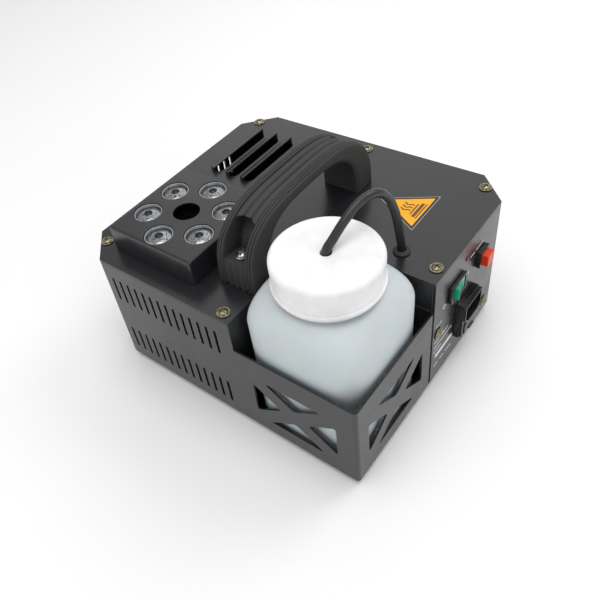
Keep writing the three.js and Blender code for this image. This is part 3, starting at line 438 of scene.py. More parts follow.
class Finish:
    """One material: a shader, the piece's own coordinates, and calls that lay grain, mottling and wear on
    it."""

    def __init__(self, name, colour, roughness, metallic=0.0, **sockets):
        self.material = bpy.data.materials.new(name)
        self.material.use_nodes = True
        self.tree = self.material.node_tree
        self.tree.nodes.clear()
        output = self.node("ShaderNodeOutputMaterial")
        self.shader = self.node("ShaderNodeBsdfPrincipled")
        self.tree.links.new(self.shader.outputs[0], output.inputs[0])
        self.place = self.node("ShaderNodeTexCoord").outputs["Object"]
        self.colour = (*colour[:3], 1.0)
        self.last_colour = None
        self.last_bump = None
        self.shader.inputs["Base Color"].default_value = self.colour
        self.shader.inputs["Roughness"].default_value = roughness
        self.shader.inputs["Metallic"].default_value = metallic
        for socket, value in sockets.items():
            self.shader.inputs[socket.replace("_", " ")].default_value = value

    def node(self, kind, **settings):
        made = self.tree.nodes.new(kind)
        for key, value in settings.items():
            setattr(made, key, value)
        return made

    def coordinates(self, stretch):
        if stretch is None:
            return self.place
        mapping = self.node("ShaderNodeMapping")
        mapping.inputs["Scale"].default_value = stretch
        self.tree.links.new(self.place, mapping.inputs["Vector"])
        return mapping.outputs[0]

    def noise(self, size, detail, stretch=None):
        """Noise whose lumps are about size across."""
        noise = self.node("ShaderNodeTexNoise")
        noise.inputs["Scale"].default_value = 1 / size
        noise.inputs["Detail"].default_value = detail
        self.tree.links.new(self.coordinates(stretch), noise.inputs["Vector"])
        return noise.outputs[0]

    def between(self, factor, low, high, start=0.0, end=1.0):
        """The factor's low to high stretched to start to end, and held there outside."""
        spread = self.node("ShaderNodeMapRange")
        for socket, value in zip(("From Min", "From Max", "To Min", "To Max"), (low, high, start, end)):
            spread.inputs[socket].default_value = value
        self.tree.links.new(factor, spread.inputs["Value"])
        return spread.outputs[0]

    def tint(self, colour, factor):
        """Lays another colour over what is there, as much as the factor says."""
        mix = self.node("ShaderNodeMix", data_type="RGBA")
        if self.last_colour is None:
            mix.inputs[6].default_value = self.colour
        else:
            self.tree.links.new(self.last_colour, mix.inputs[6])
        mix.inputs[7].default_value = (*colour[:3], 1.0)
        self.tree.links.new(factor, mix.inputs[0])
        self.last_colour = mix.outputs[2]
        self.tree.links.new(self.last_colour, self.shader.inputs["Base Color"])
        return self

    def mottle(self, colour, size, amount=0.6, stretch=None):
        return self.tint(colour, self.between(self.noise(size, 4.0, stretch), 0.35, 0.68, 0.0, amount))

    def specks(self, colour, size, cover=0.7, amount=0.6):
        return self.tint(colour, self.between(self.noise(size, 1.0), cover, cover + 0.05, 0.0, amount))

    def gloss(self, low, high, size, stretch=None):
        """Roughness that wanders from low to high."""
        self.tree.links.new(
            self.between(self.noise(size, 3.0, stretch), 0.3, 0.7, low, high), self.shader.inputs[
                "Roughness"
            ]
        )
        return self

    def bump(self, height, depth):
        node = self.node("ShaderNodeBump")
        node.inputs["Distance"].default_value = depth
        node.inputs["Strength"].default_value = 1.0
        self.tree.links.new(height, node.inputs["Height"])
        if self.last_bump is not None:
            self.tree.links.new(self.last_bump, node.inputs["Normal"])
        self.last_bump = node.outputs[0]
        self.tree.links.new(self.last_bump, self.shader.inputs["Normal"])
        return self

    def grain(self, size, depth, stretch=None):
        return self.bump(self.noise(size, 2.0, stretch), depth)

    def wave(self, pitch, direction, distortion):
        """Parallel lines across the given direction, one every pitch."""
        wave = self.node("ShaderNodeTexWave", wave_type="BANDS", bands_direction=direction)
        wave.inputs["Scale"].default_value = math.pi / (10 * pitch)
        wave.inputs["Distortion"].default_value = distortion
        self.tree.links.new(self.place, wave.inputs["Vector"])
        return wave.outputs[1]

    def cell_edges(self, size):
        """The distance to the nearest edge between cells that are about size across."""
        cells = self.node("ShaderNodeTexVoronoi", feature="DISTANCE_TO_EDGE")
        cells.inputs["Scale"].default_value = 1 / size
        self.tree.links.new(self.place, cells.inputs["Vector"])
        return cells.outputs[0]


def make_finishes(scene):
    """Every material on the machine, by the name of the finish."""
    coat, handle, jar = scene.fog_case.coat, scene.fog_handle.plastic, scene.fog_jar.plastic
    finishes = {}

    def add(name, colour, roughness, metallic=0.0, **sockets):
        finishes[name] = Finish(name, colour, roughness, metallic, **sockets)
        return finishes[name]

    def moulded(name, colour, roughness, depth=0.02 * MM, grain=0.5 * MM, **sockets):
        """Moulded plastic: a fine even texture, a slow change of shade, and a little change of gloss."""
        lighter = [min(1.0, c * 1.25 + 0.003) for c in colour[:3]]
        made = add(name, colour, roughness, **sockets)
        return made.mottle(lighter, 14 * MM, 0.5).gloss(roughness * 0.85, roughness * 1.15, 9 * MM).grain(
            grain, depth
        )

    powder = add("powder_coat", coat, 0.26, IOR=1.55)
    powder.mottle([c * 1.22 for c in coat], 60 * MM, 0.55)
    powder.mottle([c * 0.86 for c in coat], 1.3 * MM, 0.5)
    powder.specks(tone(150, 152, 155), 1.9 * MM, 0.80, 0.35)
    powder.gloss(0.22, 0.30, 24 * MM).grain(0.8 * MM, 0.012 * MM).grain(0.28 * MM, 0.003 * MM)

    moulded("handle_plastic", handle, 0.22, 0.004 * MM, 0.45 * MM)
    moulded("black_plastic", tone(24, 25, 27), 0.30, 0.006 * MM, 0.4 * MM)
    moulded("phenolic", tone(34, 30, 28), 0.5)
    moulded(
        "cap_white",
        tone(231, 230, 231),
        0.42,
        0.02 * MM,
        1.1 * MM,
        Subsurface_Weight=0.12,
        Subsurface_Scale=0.004,
    )
    moulded("green_plastic", tone(20, 166, 122), 0.24, 0.006 * MM, 0.8 * MM, Coat_Weight=0.3)
    moulded("red_plastic", tone(212, 56, 12), 0.32, 0.006 * MM, 0.8 * MM)
    moulded("lamp_red", tone(90, 20, 16), 0.2, 0.004 * MM)
    moulded("pump_nylon", tone(214, 210, 198), 0.45)
    moulded("print_white", tone(222, 224, 226), 0.6, 0.01 * MM, 0.3 * MM)
    moulded("print_black", tone(24, 22, 20), 0.42, 0.01 * MM, 0.3 * MM)
    moulded("print_brown", tone(104, 60, 18), 0.42, 0.01 * MM, 0.3 * MM)
    moulded("label_film", tone(176, 174, 168), 0.4, 0.01 * MM, 0.3 * MM)
    moulded("label_amber", scene.fog_label.amber, 0.42, 0.01 * MM, 0.3 * MM)
    moulded("foam", tone(228, 224, 214), 0.85, 0.12 * MM, 0.6 * MM)
    moulded("board_black", tone(14, 14, 15), 0.5)

    rubber = add("soft_rubber", tone(34, 35, 37), 0.62)
    rubber.mottle(tone(52, 53, 55), 5 * MM, 0.6).gloss(0.5, 0.72, 6 * MM).grain(0.35 * MM, 0.03 * MM)
    feet = add("foot_rubber", tone(20, 20, 21), 0.82)
    feet.mottle(tone(44, 43, 42), 3 * MM, 0.5).grain(0.5 * MM, 0.05 * MM)
    hose = add("hose_black", tone(28, 29, 31), 0.36, Coat_Weight=0.1)
    hose.mottle(tone(40, 41, 44), 18 * MM, 0.5).gloss(0.3, 0.46, 10 * MM).grain(0.9 * MM, 0.02 * MM)

    milky = add(
        "jar_milky", jar, 0.38, Subsurface_Weight=0.4, Subsurface_Scale=0.012, Transmission_Weight=0.10
    )
    milky.mottle([c * 1.06 for c in jar], 30 * MM, 0.8).gloss(0.32, 0.48, 16 * MM)
    milky.grain(5 * MM, 0.10 * MM).grain(0.9 * MM, 0.012 * MM)

    zinc = add("zinc_yellow", tone(176, 168, 140), 0.28, 0.95)
    zinc.mottle(tone(104, 98, 78), 1.8 * MM, 0.85).gloss(0.22, 0.45, 1.5 * MM).grain(0.3 * MM, 0.02 * MM)
    bright = add("bright_steel", tone(206, 206, 204), 0.24, 1.0)
    bright.mottle(tone(150, 150, 150), 3 * MM, 0.6).gloss(0.16, 0.34, 2 * MM).grain(0.4 * MM, 0.01 * MM)
    ground = add("ground_steel", tone(190, 191, 193), 0.3, 1.0)
    ground.mottle(tone(140, 141, 144), 4 * MM, 0.5, (1, 8, 1)).grain(0.3 * MM, 0.01 * MM, (1, 12, 1))
    brass = add("brass", tone(186, 150, 84), 0.3, 1.0)
    brass.mottle(tone(120, 92, 52), 5 * MM, 0.7).gloss(0.2, 0.42, 3 * MM).bump(
        brass.wave(0.35 * MM, "Z", 0.6), 0.01 * MM
    )
    sooty = add("sooty_brass", tone(34, 30, 26), 0.6, 0.5)
    sooty.mottle(tone(72, 58, 38), 3 * MM, 0.5).grain(0.4 * MM, 0.03 * MM)
    cast = add("cast_aluminium", tone(150, 152, 154), 0.55, 0.85)
    cast.mottle(tone(112, 112, 114), 6 * MM, 0.7).gloss(0.45, 0.7, 4 * MM).grain(0.7 * MM, 0.08 * MM)

    cloth = add("glass_cloth", tone(214, 204, 178), 0.85, Sheen_Weight=0.3)
    cloth.mottle(tone(176, 162, 132), 12 * MM, 0.7)
    cloth.bump(cloth.wave(1.4 * MM, "Z", 0.3), 0.25 * MM).bump(cloth.wave(1.4 * MM, "X", 0.3), 0.2 * MM)
    tape = add("coil_tape", tone(120, 42, 26), 0.45)
    tape.mottle(tone(84, 28, 18), 9 * MM, 0.7).bump(tape.wave(0.8 * MM, "Y", 0.4), 0.06 * MM)
    board = add("board_green", tone(28, 92, 52), 0.4, Coat_Weight=0.4)
    board.tint(tone(60, 128, 76), board.between(board.cell_edges(5 * MM), 0.05, 0.12, 0.7, 0.0))
    board.specks(tone(206, 200, 180), 3 * MM, 0.66, 0.9).grain(0.8 * MM, 0.03 * MM)

    mirror = add("lens_mosaic", tone(196, 198, 200), 0.2, 0.9)
    mirror.mottle(tone(18, 19, 20), 0.9 * MM, 0.95).gloss(0.12, 0.3, 1.2 * MM)
    rim = add("lens_rim", tone(150, 153, 156), 0.18, 0.2, Coat_Weight=0.6)
    rim.mottle(tone(120, 124, 128), 4 * MM, 0.6).gloss(0.1, 0.24, 3 * MM)
    pupil = add("lens_pupil", tone(12, 12, 13), 0.4)
    pupil.mottle(tone(44, 45, 44), 1.2 * MM, 0.7)
    glass = add("fuse_glass", tone(226, 232, 234), 0.06, Transmission_Weight=0.85)
    glass.mottle(tone(196, 200, 202), 6 * MM, 0.5).grain(2 * MM, 0.01 * MM)

    floor = add("studio_floor", scene.fog_stage.floor, 0.75)
    floor.mottle([c * 0.985 for c in scene.fog_stage.floor], 350 * MM, 0.8).grain(6 * MM, 0.04 * MM)
    return {name: made.material for name, made in finishes.items()}


def finish(name):
    made = bpy.data.materials.get(name)
    if made is None:
        raise RuntimeError(f"the finish {name} hasn't been mixed: run the finishes operator first")
    return made


def dress(node, name):
    """Puts a finish on one of the frame's own nodes."""
    slots = frame["nodes"][node].data.materials
    slots.clear()
    slots.append(finish(name))


# --------------------------------------------------------------------------------------------------------
# Pieces


class FinishesOperator(bpy.types.Operator):
    """Mixes every finish, and puts its own on each node that stays as the frame has it"""

    bl_idname = "fog.finishes"
    bl_label = "Finishes"

    def execute(self, context):
        make_finishes(context.scene)
        kept = {
            "powder_coat": ["base_plate"],
            "foot_rubber": FEET,
            "board_green": ["control_board", "lamp_driver"],
            "board_black": ["lamp_board"],
            "cast_aluminium": ["heater_core"],
            "glass_cloth": ["heater_jacket"],
            "ground_steel": ["heater_bracket", "pump_bracket", "pressure_pipe", "pump_plunger"],
            "sooty_brass": ["fog_nozzle"],
            "phenolic": ["thermostat"],
            "pump_nylon": ["pump_body", "pickup_filter"],
            "coil_tape": ["pump_coil"],
            "foam": ["cap_liner"],
            "brass": BLADES,
            "fuse_glass": ["fuse"],
            "lamp_red": ["status_lamp"],
        }
        for name, nodes in kept.items():
            for node in nodes:
                dress(node, name)
        return {"FINISHED"}


class CaseOperator(bpy.types.Operator):
    """Makes the folded sheet pieces of the case and the nozzle deck, with eased edges"""

    bl_idname = "fog.case"
    bl_label = "Case"

    def execute(self, context):
        for node in SHEET_METAL:
            eased_copy(node, finish("powder_coat"), context.scene.fog_case.easing)
        self.fold()
        return {"FINISHED"}

    def fold(self):
        """A thin round bead along the bay's rear wall."""
        low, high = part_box("bay_wall")
        height, inset, radius = 78.2 * MM, 1.3 * MM, 0.45 * MM
        y, z = high.y - inset, low.z + height
        path = np.linspace((low.x + 3 * MM, y, z), (high.x - 1 * MM, y, z), 40)
        rings = sweep(path, radius, 12)
        build("bay_wall_fold", [shell(rings)], [finish("powder_coat")], "case")


class PanelOperator(bpy.types.Operator):
    """Makes the switches, the inlet and its fuse drawer, and the plain marks printed on the panel"""

    bl_idname = "fog.panel"
    bl_label = "Panel fittings"

    def execute(self, context):
        plan = [
            ("mains_inlet", "black_plastic", "black_fittings", 0.45 * MM),
            ("fuse_drawer", "black_plastic", "black_fittings", 0.3 * MM),
            ("rocker_frame", "black_plastic", "black_fittings", 0.4 * MM),
            ("button_frame", "black_plastic", "black_fittings", 0.4 * MM),
            ("power_rocker", "green_plastic", "rocker_green", 0.5 * MM),
            ("button_cap", "red_plastic", "button_red", 0.6 * MM),
        ]
        for node, name, slot, width in plan:
            eased_copy(node, finish(name), width, 3)
        build("panel_marks", self.marks(), [finish("print_white")], "case", flat=True)
        return {"FINISHED"}

    def marks(self):
        """Plain bars in place of words, and the O and I by the rocker. Each row is (y, z, length,
        height)."""
        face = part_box("control_panel")[1].x + HAIR
        lift = 0.05 * MM
        bars = [
            (-8.0, 59.5, 9.0, 0.7),
            (-9.5, 43.0, 22.0, 0.9),
            (-9.5, 37.6, 28.0, 0.9),
            (-9.5, 32.4, 12.0, 0.8),
            (-6.5, 24.6, 27.0, 3.4),
            (-7.5, 15.4, 6.5, 1.0),
            (2.0, 15.4, 6.0, 1.0),
            (10.5, 15.4, 9.0, 1.0),
            (41.0, 88.4, 7.0, 0.8),
            (50.0, 89.0, 12.0, 0.9),
            (39.4, 73.0, 0.9, 4.2),
        ]
        shells = []
        rise = CASE_ORIGIN[2]
        for y, z, length, height in bars:
            low = (face, y * MM, (z + rise) * MM)
            high = (face + lift, (y + length) * MM, (z + height + rise) * MM)
            shells.append(shell(box_shell(low, high)))
        turn = np.arange(40) / 40 * TURN
        inner, outer = 1.35 * MM, 1.95 * MM
        profile = np.array([(inner, 0.0), (outer, 0.0), (outer, lift), (inner, lift)])
        centre_y, centre_z = 2.6 * MM, (72.4 + rise) * MM
        y = centre_y + profile[:, :1] * np.cos(turn)
        z = centre_z + profile[:, :1] * np.sin(turn)
        x = np.broadcast_to(face + profile[:, 1:], y.shape)
        shells.append(shell(np.stack([x, y, z], axis=-1), closed=True))
        return shells


class HandleOperator(bpy.types.Operator):
    """Makes the ribbed carrying handle with a well for a screw in each foot"""

    bl_idname = "fog.handle"
    bl_label = "Handle"

    def execute(self, context):
        settings = context.scene.fog_handle
        rings = self.surface(settings)
        build(
            "carrying_handle",
            [shell(rings)],
            [finish("handle_plastic")],
            "case",
            ["handle"],
        )
        return {"FINISHED"}

    def arches(self, settings, angle):
        """Outer and inner arch as rounded box curves, |y/a|^n + |z/h|^n = 1, squarer in front than
        behind."""
        low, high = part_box("handle")
        length, rise = high.y - low.y, high.z - low.z
        middle = low.y + length * settings.peak
        c, s = np.cos(angle), np.sin(angle)
        in_front = c < 0
        half = np.where(in_front, settings.peak, 1 - settings.peak) * length
        power = np.where(in_front, 3.2, 3.0)
        along, up = np.sign(c) * np.abs(c) ** (2 / power), np.abs(s) ** (2 / power)
        outer = np.stack([middle + along * half, low.z + up * rise], axis=-1)
        inner_half, inner_rise = half - settings.foot_depth, rise - settings.grip_depth
        inner = np.stack([middle + along * inner_half, low.z + up * inner_rise], axis=-1)
        return outer, inner

    def surface(self, settings):
        """At each station a ring goes round the section: across the ribbed outer face, down one side, back
        across the inner face and up the other side. Depth is counted from the outer arch towards the inner
        one."""
        dense = np.pi * (1 - np.linspace(0, 1, 4001))
        outer, _ = self.arches(settings, dense)
        travelled = np.concatenate([[0], np.cumsum(np.linalg.norm(np.diff(outer, axis=0), axis=1))])
        total = travelled[-1]
        near = 66 * MM
        stations = np.concatenate(
            [
                np.linspace(0, near, 165, endpoint=False),
                np.linspace(near, total - near, 70, endpoint=False),
                np.linspace(total - near, total, 165),
            ]
        )
        angle = np.interp(stations, travelled, dense)
        outer, inner = self.arches(settings, angle)
        thickness = np.linalg.norm(outer - inner, axis=1)[:, None]
        normal = (outer - inner) / thickness

        low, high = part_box("handle")
        height = outer[:, 1] - low.z
        foot_half = (high.x - low.x) / 2
        waist, waist_reach = 30 * MM, 26 * MM
        lean = step_in(height - waist, waist_reach)
        half = (foot_half + (settings.grip_width / 2 - foot_half) * lean)[:, None]

        across = np.linspace(-1, 1, 201)[None, :]
        corner, thinnest = 2.6 * MM, 3.2 * MM
        beyond = np.clip((np.abs(across) - (1 - corner / half)) / (corner / half), 0, 1)
        round_off = corner * (1 - np.sqrt(1 - beyond**2))
        from_end = np.minimum(stations, total - stations)[:, None]
        face_depth = self.face_depth(settings, across, across * half, from_end) + round_off
        face_depth = np.minimum(face_depth, thickness - thinnest)

        back = np.linspace(1, -1, 31)[None, :]
        beyond_back = np.clip((np.abs(back) - (1 - corner / half)) / (corner / half), 0, 1)
        back_depth = thickness - corner * (1 - np.sqrt(1 - beyond_back**2))

        down = np.linspace(0, 1, 9)[None, 1:-1]
        side_depth = corner + (thickness - 2 * corner) * down
        side = np.broadcast_to(half, side_depth.shape)
        x = np.hstack([across * half, side, back * half, -side])
        depth = np.hstack([face_depth, side_depth, back_depth, side_depth[:, ::-1]])
        yz = outer[:, None] - normal[:, None] * depth[:, :, None]
        centre_x = (low.x + high.x) / 2
        return np.concatenate([(centre_x + x)[..., None], yz], axis=-1)

    def face_depth(self, settings, across, x, from_end):
        """Nine ribs side by side, three wide ones between bands of three narrow ones. Each falls from its
        crest to the grooves beside it as |w|^2.4, in proportion to its width. Within a foot, an arch-topped
        well is let in over a ledge, and the face under the ledge is fluted."""
        grooves = np.array([-1.04, -0.87, -0.73, -0.60, -0.20, 0.20, 0.60, 0.73, 0.87, 1.04])
        rib = np.searchsorted(grooves, across, side="right") - 1
        width = grooves[rib + 1] - grooves[rib]
        from_crest = 2 * (across - grooves[rib]) / width - 1
        face = settings.rib_depth * (width / 0.4) ** 0.6 * np.abs(from_crest) ** 2.4

        ledge, radius = settings.ledge, settings.well_width / 2
        spring, well_depth = ledge + 24.5 * MM, 17.5 * MM
        flute_height, flute_pitch, flute_depth = 0.75 * MM, 5.6 * MM, 0.2 * MM
        flutes = flute_height * (1 - np.cos(TURN * x / flute_pitch)) + flute_depth
        in_flutes = (np.abs(x) < radius + 0.3 * MM) & (from_end < ledge)
        face = np.where(in_flutes, flutes, np.broadcast_to(face, in_flutes.shape))
        beside = np.abs(x) - radius
        over = (np.abs(x) ** 2.6 + np.abs(from_end - spring) ** 2.6) ** (1 / 2.6) - radius
        distance = np.maximum(np.where(from_end > spring, over, beside), ledge - from_end)
        return face + well_depth * step_in(-distance - 0.4 * MM, 0.5 * MM)


class JarOperator(bpy.types.Operator):
    """Makes the fluid jar with its square body and round neck, and its cap"""

    bl_idname = "fog.jar"
    bl_label = "Jar and cap"

    def execute(self, context):
        settings = context.scene.fog_jar
        build(
            "fluid_jar",
            [shell(self.jar(settings))],
            [finish("jar_milky")],
            "jar",
            ["jar"],
            sharp=60,
        )
        build(
            "jar_screw_cap",
            [shell(self.cap(settings), closed=True)],
            [finish("cap_white")],
            "cap",
            ["jar_cap"],
        )
        return {"FINISHED"}

    def jar(self, settings):
        """Rings r = a / (|cos t|^n + |sin t|^n)^(1/n). The power n falls from a soft square to 2, a circle,
        as the shoulder sweeps in as a quarter of an ellipse. The inner wall follows the outer one back
        down."""
        low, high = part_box("jar")
        middle = (low + high) / 2
        half, foot = (high.x - low.x) / 2, low.z
        heel_r, hollow = 4 * MM, 0.35 * MM
        neck, base, top = 31.5 * MM, 130 * MM, high.z
        shoulder = 109 * MM
        square = settings.squareness

        def levels(inset):
            """Rows of (half width, power, height) from the foot to the mouth."""
            t = np.linspace(0, np.pi / 2, 9)[:-1]
            heel = np.column_stack(
                [
                    half - heel_r * (1 - np.sin(t)) - inset,
                    np.full(8, square),
                    foot + heel_r * (1 - np.cos(t)) + inset,
                ]
            )
            rise = np.linspace(0, 1, 14)[:, None]
            drawn_in = hollow * np.sin(np.pi * rise)
            body = np.hstack(
                [
                    half - inset - drawn_in,
                    np.full((14, 1), square),
                    foot + heel_r + inset + rise * (shoulder - foot - heel_r - inset),
                ]
            )
            t = np.linspace(0, np.pi / 2, 27)[1:]
            inward = 1 - np.cos(t)
            sweep_in = np.column_stack(
                [
                    half - (half - neck) * inward - inset,
                    square + (2 - square) * np.sin(t) ** 1.6,
                    shoulder + (base - shoulder) * np.sin(t) - inset * np.sin(t),
                ]
            )
            return np.vstack([heel, body, sweep_in])

        ring_z, ring_r, ring_h = 132 * MM, 35.6 * MM, 2.2 * MM
        collar = [
            (neck, ring_z - 0.4 * MM),
            (ring_r - 0.4 * MM, ring_z),
            (ring_r, ring_z + 0.4 * MM),
            (ring_r, ring_z + ring_h - 0.4 * MM),
            (ring_r - 0.4 * MM, ring_z + ring_h),
            (neck, ring_z + ring_h + 0.4 * MM),
            (neck, top - 0.4 * MM),
            (neck - 0.4 * MM, top),
            (neck - settings.wall + 0.3 * MM, top),
            (neck - settings.wall, top - 0.4 * MM),
        ]
        collar = np.array([(r, 2.0, z) for r, z in collar])
        rows = np.vstack([levels(0), collar, levels(settings.wall)[::-1]])
        angle = np.arange(160) / 160 * TURN
        a, n, z = rows[:, :1], rows[:, 1:2], rows[:, 2:]
        radius = a / (np.abs(np.cos(angle)) ** n + np.abs(np.sin(angle)) ** n) ** (1 / n)
        x, y = middle.x + radius * np.cos(angle), middle.y + radius * np.sin(angle)
        return np.stack([x, y, np.broadcast_to(z, x.shape)], axis=-1)

    def cap(self, settings):
        """A turned cup: flat top, rounded edge, straight side that widens a little, and a thin lip at its
        foot."""
        low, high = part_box("jar_cap")
        middle = (low + high) / 2
        foot_r = (high.x - low.x) / 2
        top_r = foot_r - 0.5 * MM
        hole, wall = 3.7 * MM, 3 * MM
        bend = np.linspace(0, np.pi / 2, 12)
        f = settings.fillet
        edge = np.column_stack([top_r - f + f * np.cos(bend), high.z - f + f * np.sin(bend)])
        dish = np.column_stack(
            [np.linspace(top_r - f - 2 * MM, hole + 1 * MM, 14), np.full(14, high.z - 0.1 * MM)]
        )
        side_low, side_high = (foot_r - 1.0 * MM, low.z + 3.2 * MM), (top_r, high.z - f - 1 * MM)
        side = np.linspace(side_low, side_high, 6)
        inside = 33.5 * MM
        profile = np.vstack(
            [
                (inside, low.z),
                (foot_r - 0.3 * MM, low.z),
                (foot_r, low.z + 0.4 * MM),
                (foot_r, low.z + 2.2 * MM),
                (foot_r - 0.4 * MM, low.z + 2.6 * MM),
                (foot_r - 1.1 * MM, low.z + 2.8 * MM),
                side,
                edge,
                dish,
                (hole + 0.3 * MM, high.z - 0.15 * MM),
                (hole, high.z - 0.6 * MM),
                (hole, high.z - wall),
                (inside, high.z - wall),
            ]
        )
        return lathe(profile, middle, 160)


class HoseOperator(bpy.types.Operator):
    """Makes the suction hose, inside and outside the case, and the grommet it rises through"""

    bl_idname = "fog.hose"
    bl_label = "Suction hose"

    def execute(self, context):
        settings = context.scene.fog_hose
        route = (smooth_route(HOSE_ROUTE, HOSE_STEPS) + CASE_ORIGIN) * MM
        cut = (GROMMET_POINT - 1) * HOSE_STEPS + HOSE_STEPS // 2
        hidden, shown = route[: cut + 1], route[cut:]
        radius = settings.diameter / 2
        gap = (shown[1] - shown[0]) * 0.1
        shown = np.vstack([shown[0] + gap, shown[1:]])

        rubber = [finish("hose_black")]
        build("suction_hose_inside", [shell(sweep(hidden, radius, settings.sides))], rubber, "case")
        tube = [shell(sweep(shown, radius, settings.sides))]
        outside = build("suction_hose_outside", tube, rubber, "case")
        outside.parent = None
        del outside["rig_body"]
        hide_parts("suction_hose")
        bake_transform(outside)
        self.grommet()
        return {"FINISHED"}

    def grommet(self):
        """A turned ring with a groove round its waist, which the lid's edge sits in, and a sloping top."""
        low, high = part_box("hose_grommet")
        middle = (low + high) / 2
        outer, bore, waist = (high.x - low.x) / 2, 3.3 * MM, 4.6 * MM
        lid_low, lid_high = low.z + 2.7 * MM, low.z + 4.8 * MM
        profile = [
            (bore, low.z),
            (outer, low.z),
            (outer, lid_low),
            (waist, lid_low),
            (waist, lid_high),
            (outer, lid_high),
            (outer, lid_high + 0.9 * MM),
            (bore + 0.9 * MM, high.z),
            (bore, high.z),
        ]
        rings = [shell(lathe(rounded(profile, 0.45 * MM, 5), middle, 64), closed=True)]
        build(
            "hose_grommet_ring", rings, [finish("soft_rubber")], "case", ["hose_grommet"]
        )


class LampsOperator(bpy.types.Operator):
    """Makes the six mosaic lenses, each with its bright rim and dark middle"""

    bl_idname = "fog.lamps"
    bl_label = "Lamps"

    def execute(self, context):
        settings = context.scene.fog_lamps
        for index, node in enumerate(LENSES):
            low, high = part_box(node)
            middle, outer = (low + high) / 2, (high.x - low.x) / 2
            shells = [
                shell(self.mosaic(settings, middle, outer, high.z, index), closed=True),
                shell(self.rim(middle, outer, high.z), closed=True),
                shell(self.pupil(middle, high.z)),
            ]
            finishes = [finish("lens_mosaic"), finish("lens_rim"), finish("lens_pupil")]
            piece = build(f"lamp_mosaic_{index + 1}", shells, finishes, "case", [node])
            painted = np.empty(len(piece.data.polygons), np.int32)
            piece.data.polygons.foreach_get("material_index", painted)
            piece.data.polygons.foreach_set("use_smooth", (painted != 0).tolist())
        return {"FINISHED"}

    def mosaic(self, settings, middle, outer, top, index):
        """A low dome of flat facets that falls as the way out to the power 2.4. Every second facet corner
        is raised and the others lowered, in a chequer, so that neighbours catch the light differently. The
        underside is flat."""
        rows, facets = settings.rows, settings.facets
        drop, raised, turn_between_lamps = 2.4 * MM, 0.07 * MM, 0.37
        way_out = np.linspace(1, 0.33, rows + 1)[:, None]
        radius = way_out * (outer - 0.9 * MM)
        corner = np.arange(2 * facets)
        angle = (corner / (2 * facets) * TURN + turn_between_lamps * index)[None, :]
        lift = raised * np.where((corner[None, :] + np.arange(rows + 1)[:, None]) % 2, 1, -1)
        height = top - 0.3 * MM - drop * way_out**2.4 + lift
        dome = np.stack(
            [middle.x + radius * np.cos(angle), middle.y + radius * np.sin(angle), height], axis=-1
        )
        under = dome[::-1].copy()
        under[..., 2] = top - 4.2 * MM
        return np.vstack([dome, under])

    def rim(self, middle, outer, top):
        """A clear ring round the lens with a rounded top."""
        profile = [
            (outer - 0.95 * MM, top - 2.6 * MM),
            (outer, top - 2.6 * MM),
            (outer, top),
            (outer - 0.95 * MM, top),
        ]
        return lathe(rounded(profile, 0.4 * MM, 5), middle, 72)

    def pupil(self, middle, top):
        """The dark middle: a stepped cup whose floor carries a small dome over the emitter."""
        profile = [
            (3.3, -4.1),
            (3.5, -0.9),
            (3.1, -0.5),
            (2.6, -0.5),
            (2.4, -1.2),
            (2.0, -1.5),
            (1.6, -1.2),
            (1.1, -0.8),
            (0.5, -0.6),
        ]
        rows = np.array(profile) * MM
        rows[:, 1] += top
        return lathe(rows, middle, 48)


class ScrewsOperator(bpy.types.Operator):
    """Makes the pan-head screws of the lid, the panel and the handle, each with its cross recess"""

    bl_idname = "fog.screws"
    bl_label = "Screws"

    def execute(self, context):
        for index, node in enumerate(LID_SCREWS + PANEL_SCREWS + HANDLE_SCREWS):
            outwards = "x" if node in PANEL_SCREWS else "z"
            bright = node in HANDLE_SCREWS
            name, slot = ("bright_steel", "bright_screws") if bright else ("zinc_yellow", "zinc_screws")
            rings = self.screw(node, outwards, 0.9 + 1.7 * index)
            build(f"{node}_turned", [shell(rings)], [finish(name)], "case", [node])
        return {"FINISHED"}

    def screw(self, node, outwards, turn):
        """Rings of (radius, height): a dome on a washer, then the shank. Two crossing troughs are pressed
        into the dome by lowering each point that lies within half a trough's width of either of two
        lines."""
        low, high = (np.array(v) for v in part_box(node))
        if outwards == "x":
            low, high = low[[1, 2, 0]], high[[1, 2, 0]]
        middle, top, bottom = (low + high) / 2, high[2], low[2]
        washer, dome = 4.9 * MM, 3.4 * MM
        head_r = np.linspace(0.12 * MM, dome, 26)
        base = top - 2.3 * MM
        head_h = base + 0.9 * MM + 1.4 * MM * (1 - (head_r / (dome * 1.03)) ** 2.8)
        rest = [
            (dome + 0.05 * MM, base + 0.35 * MM),
            (dome + 0.45 * MM, base + 0.3 * MM),
            (dome + 0.6 * MM, base + 0.75 * MM),
            (washer - 0.3 * MM, base + 0.8 * MM),
            (washer, base + 0.5 * MM),
            (washer, base + 0.12 * MM),
            (washer - 0.15 * MM, base),
            (1.9 * MM, base),
            (1.7 * MM, base - 0.2 * MM),
            (1.7 * MM, bottom + 0.6 * MM),
            (1.1 * MM, bottom),
        ]
        profile = np.vstack([np.column_stack([head_r, head_h]), rest])
        rings = lathe(profile, middle, 96)
        local = rings[..., :2] - middle[:2]
        u = local[..., 0] * math.cos(turn) + local[..., 1] * math.sin(turn)
        v = local[..., 1] * math.cos(turn) - local[..., 0] * math.sin(turn)
        width, reach, soft = 0.52 * MM, 2.3 * MM, 0.16 * MM

        def trough(a, b):
            return step_in(width - np.abs(a), soft) * step_in(reach - np.abs(b), soft)

        pressed = np.maximum(trough(u, v), trough(v, u))
        pressed[len(head_r) :] = 0
        rings[..., 2] -= 1.5 * MM * pressed
        return rings[..., [2, 0, 1]] if outwards == "x" else rings


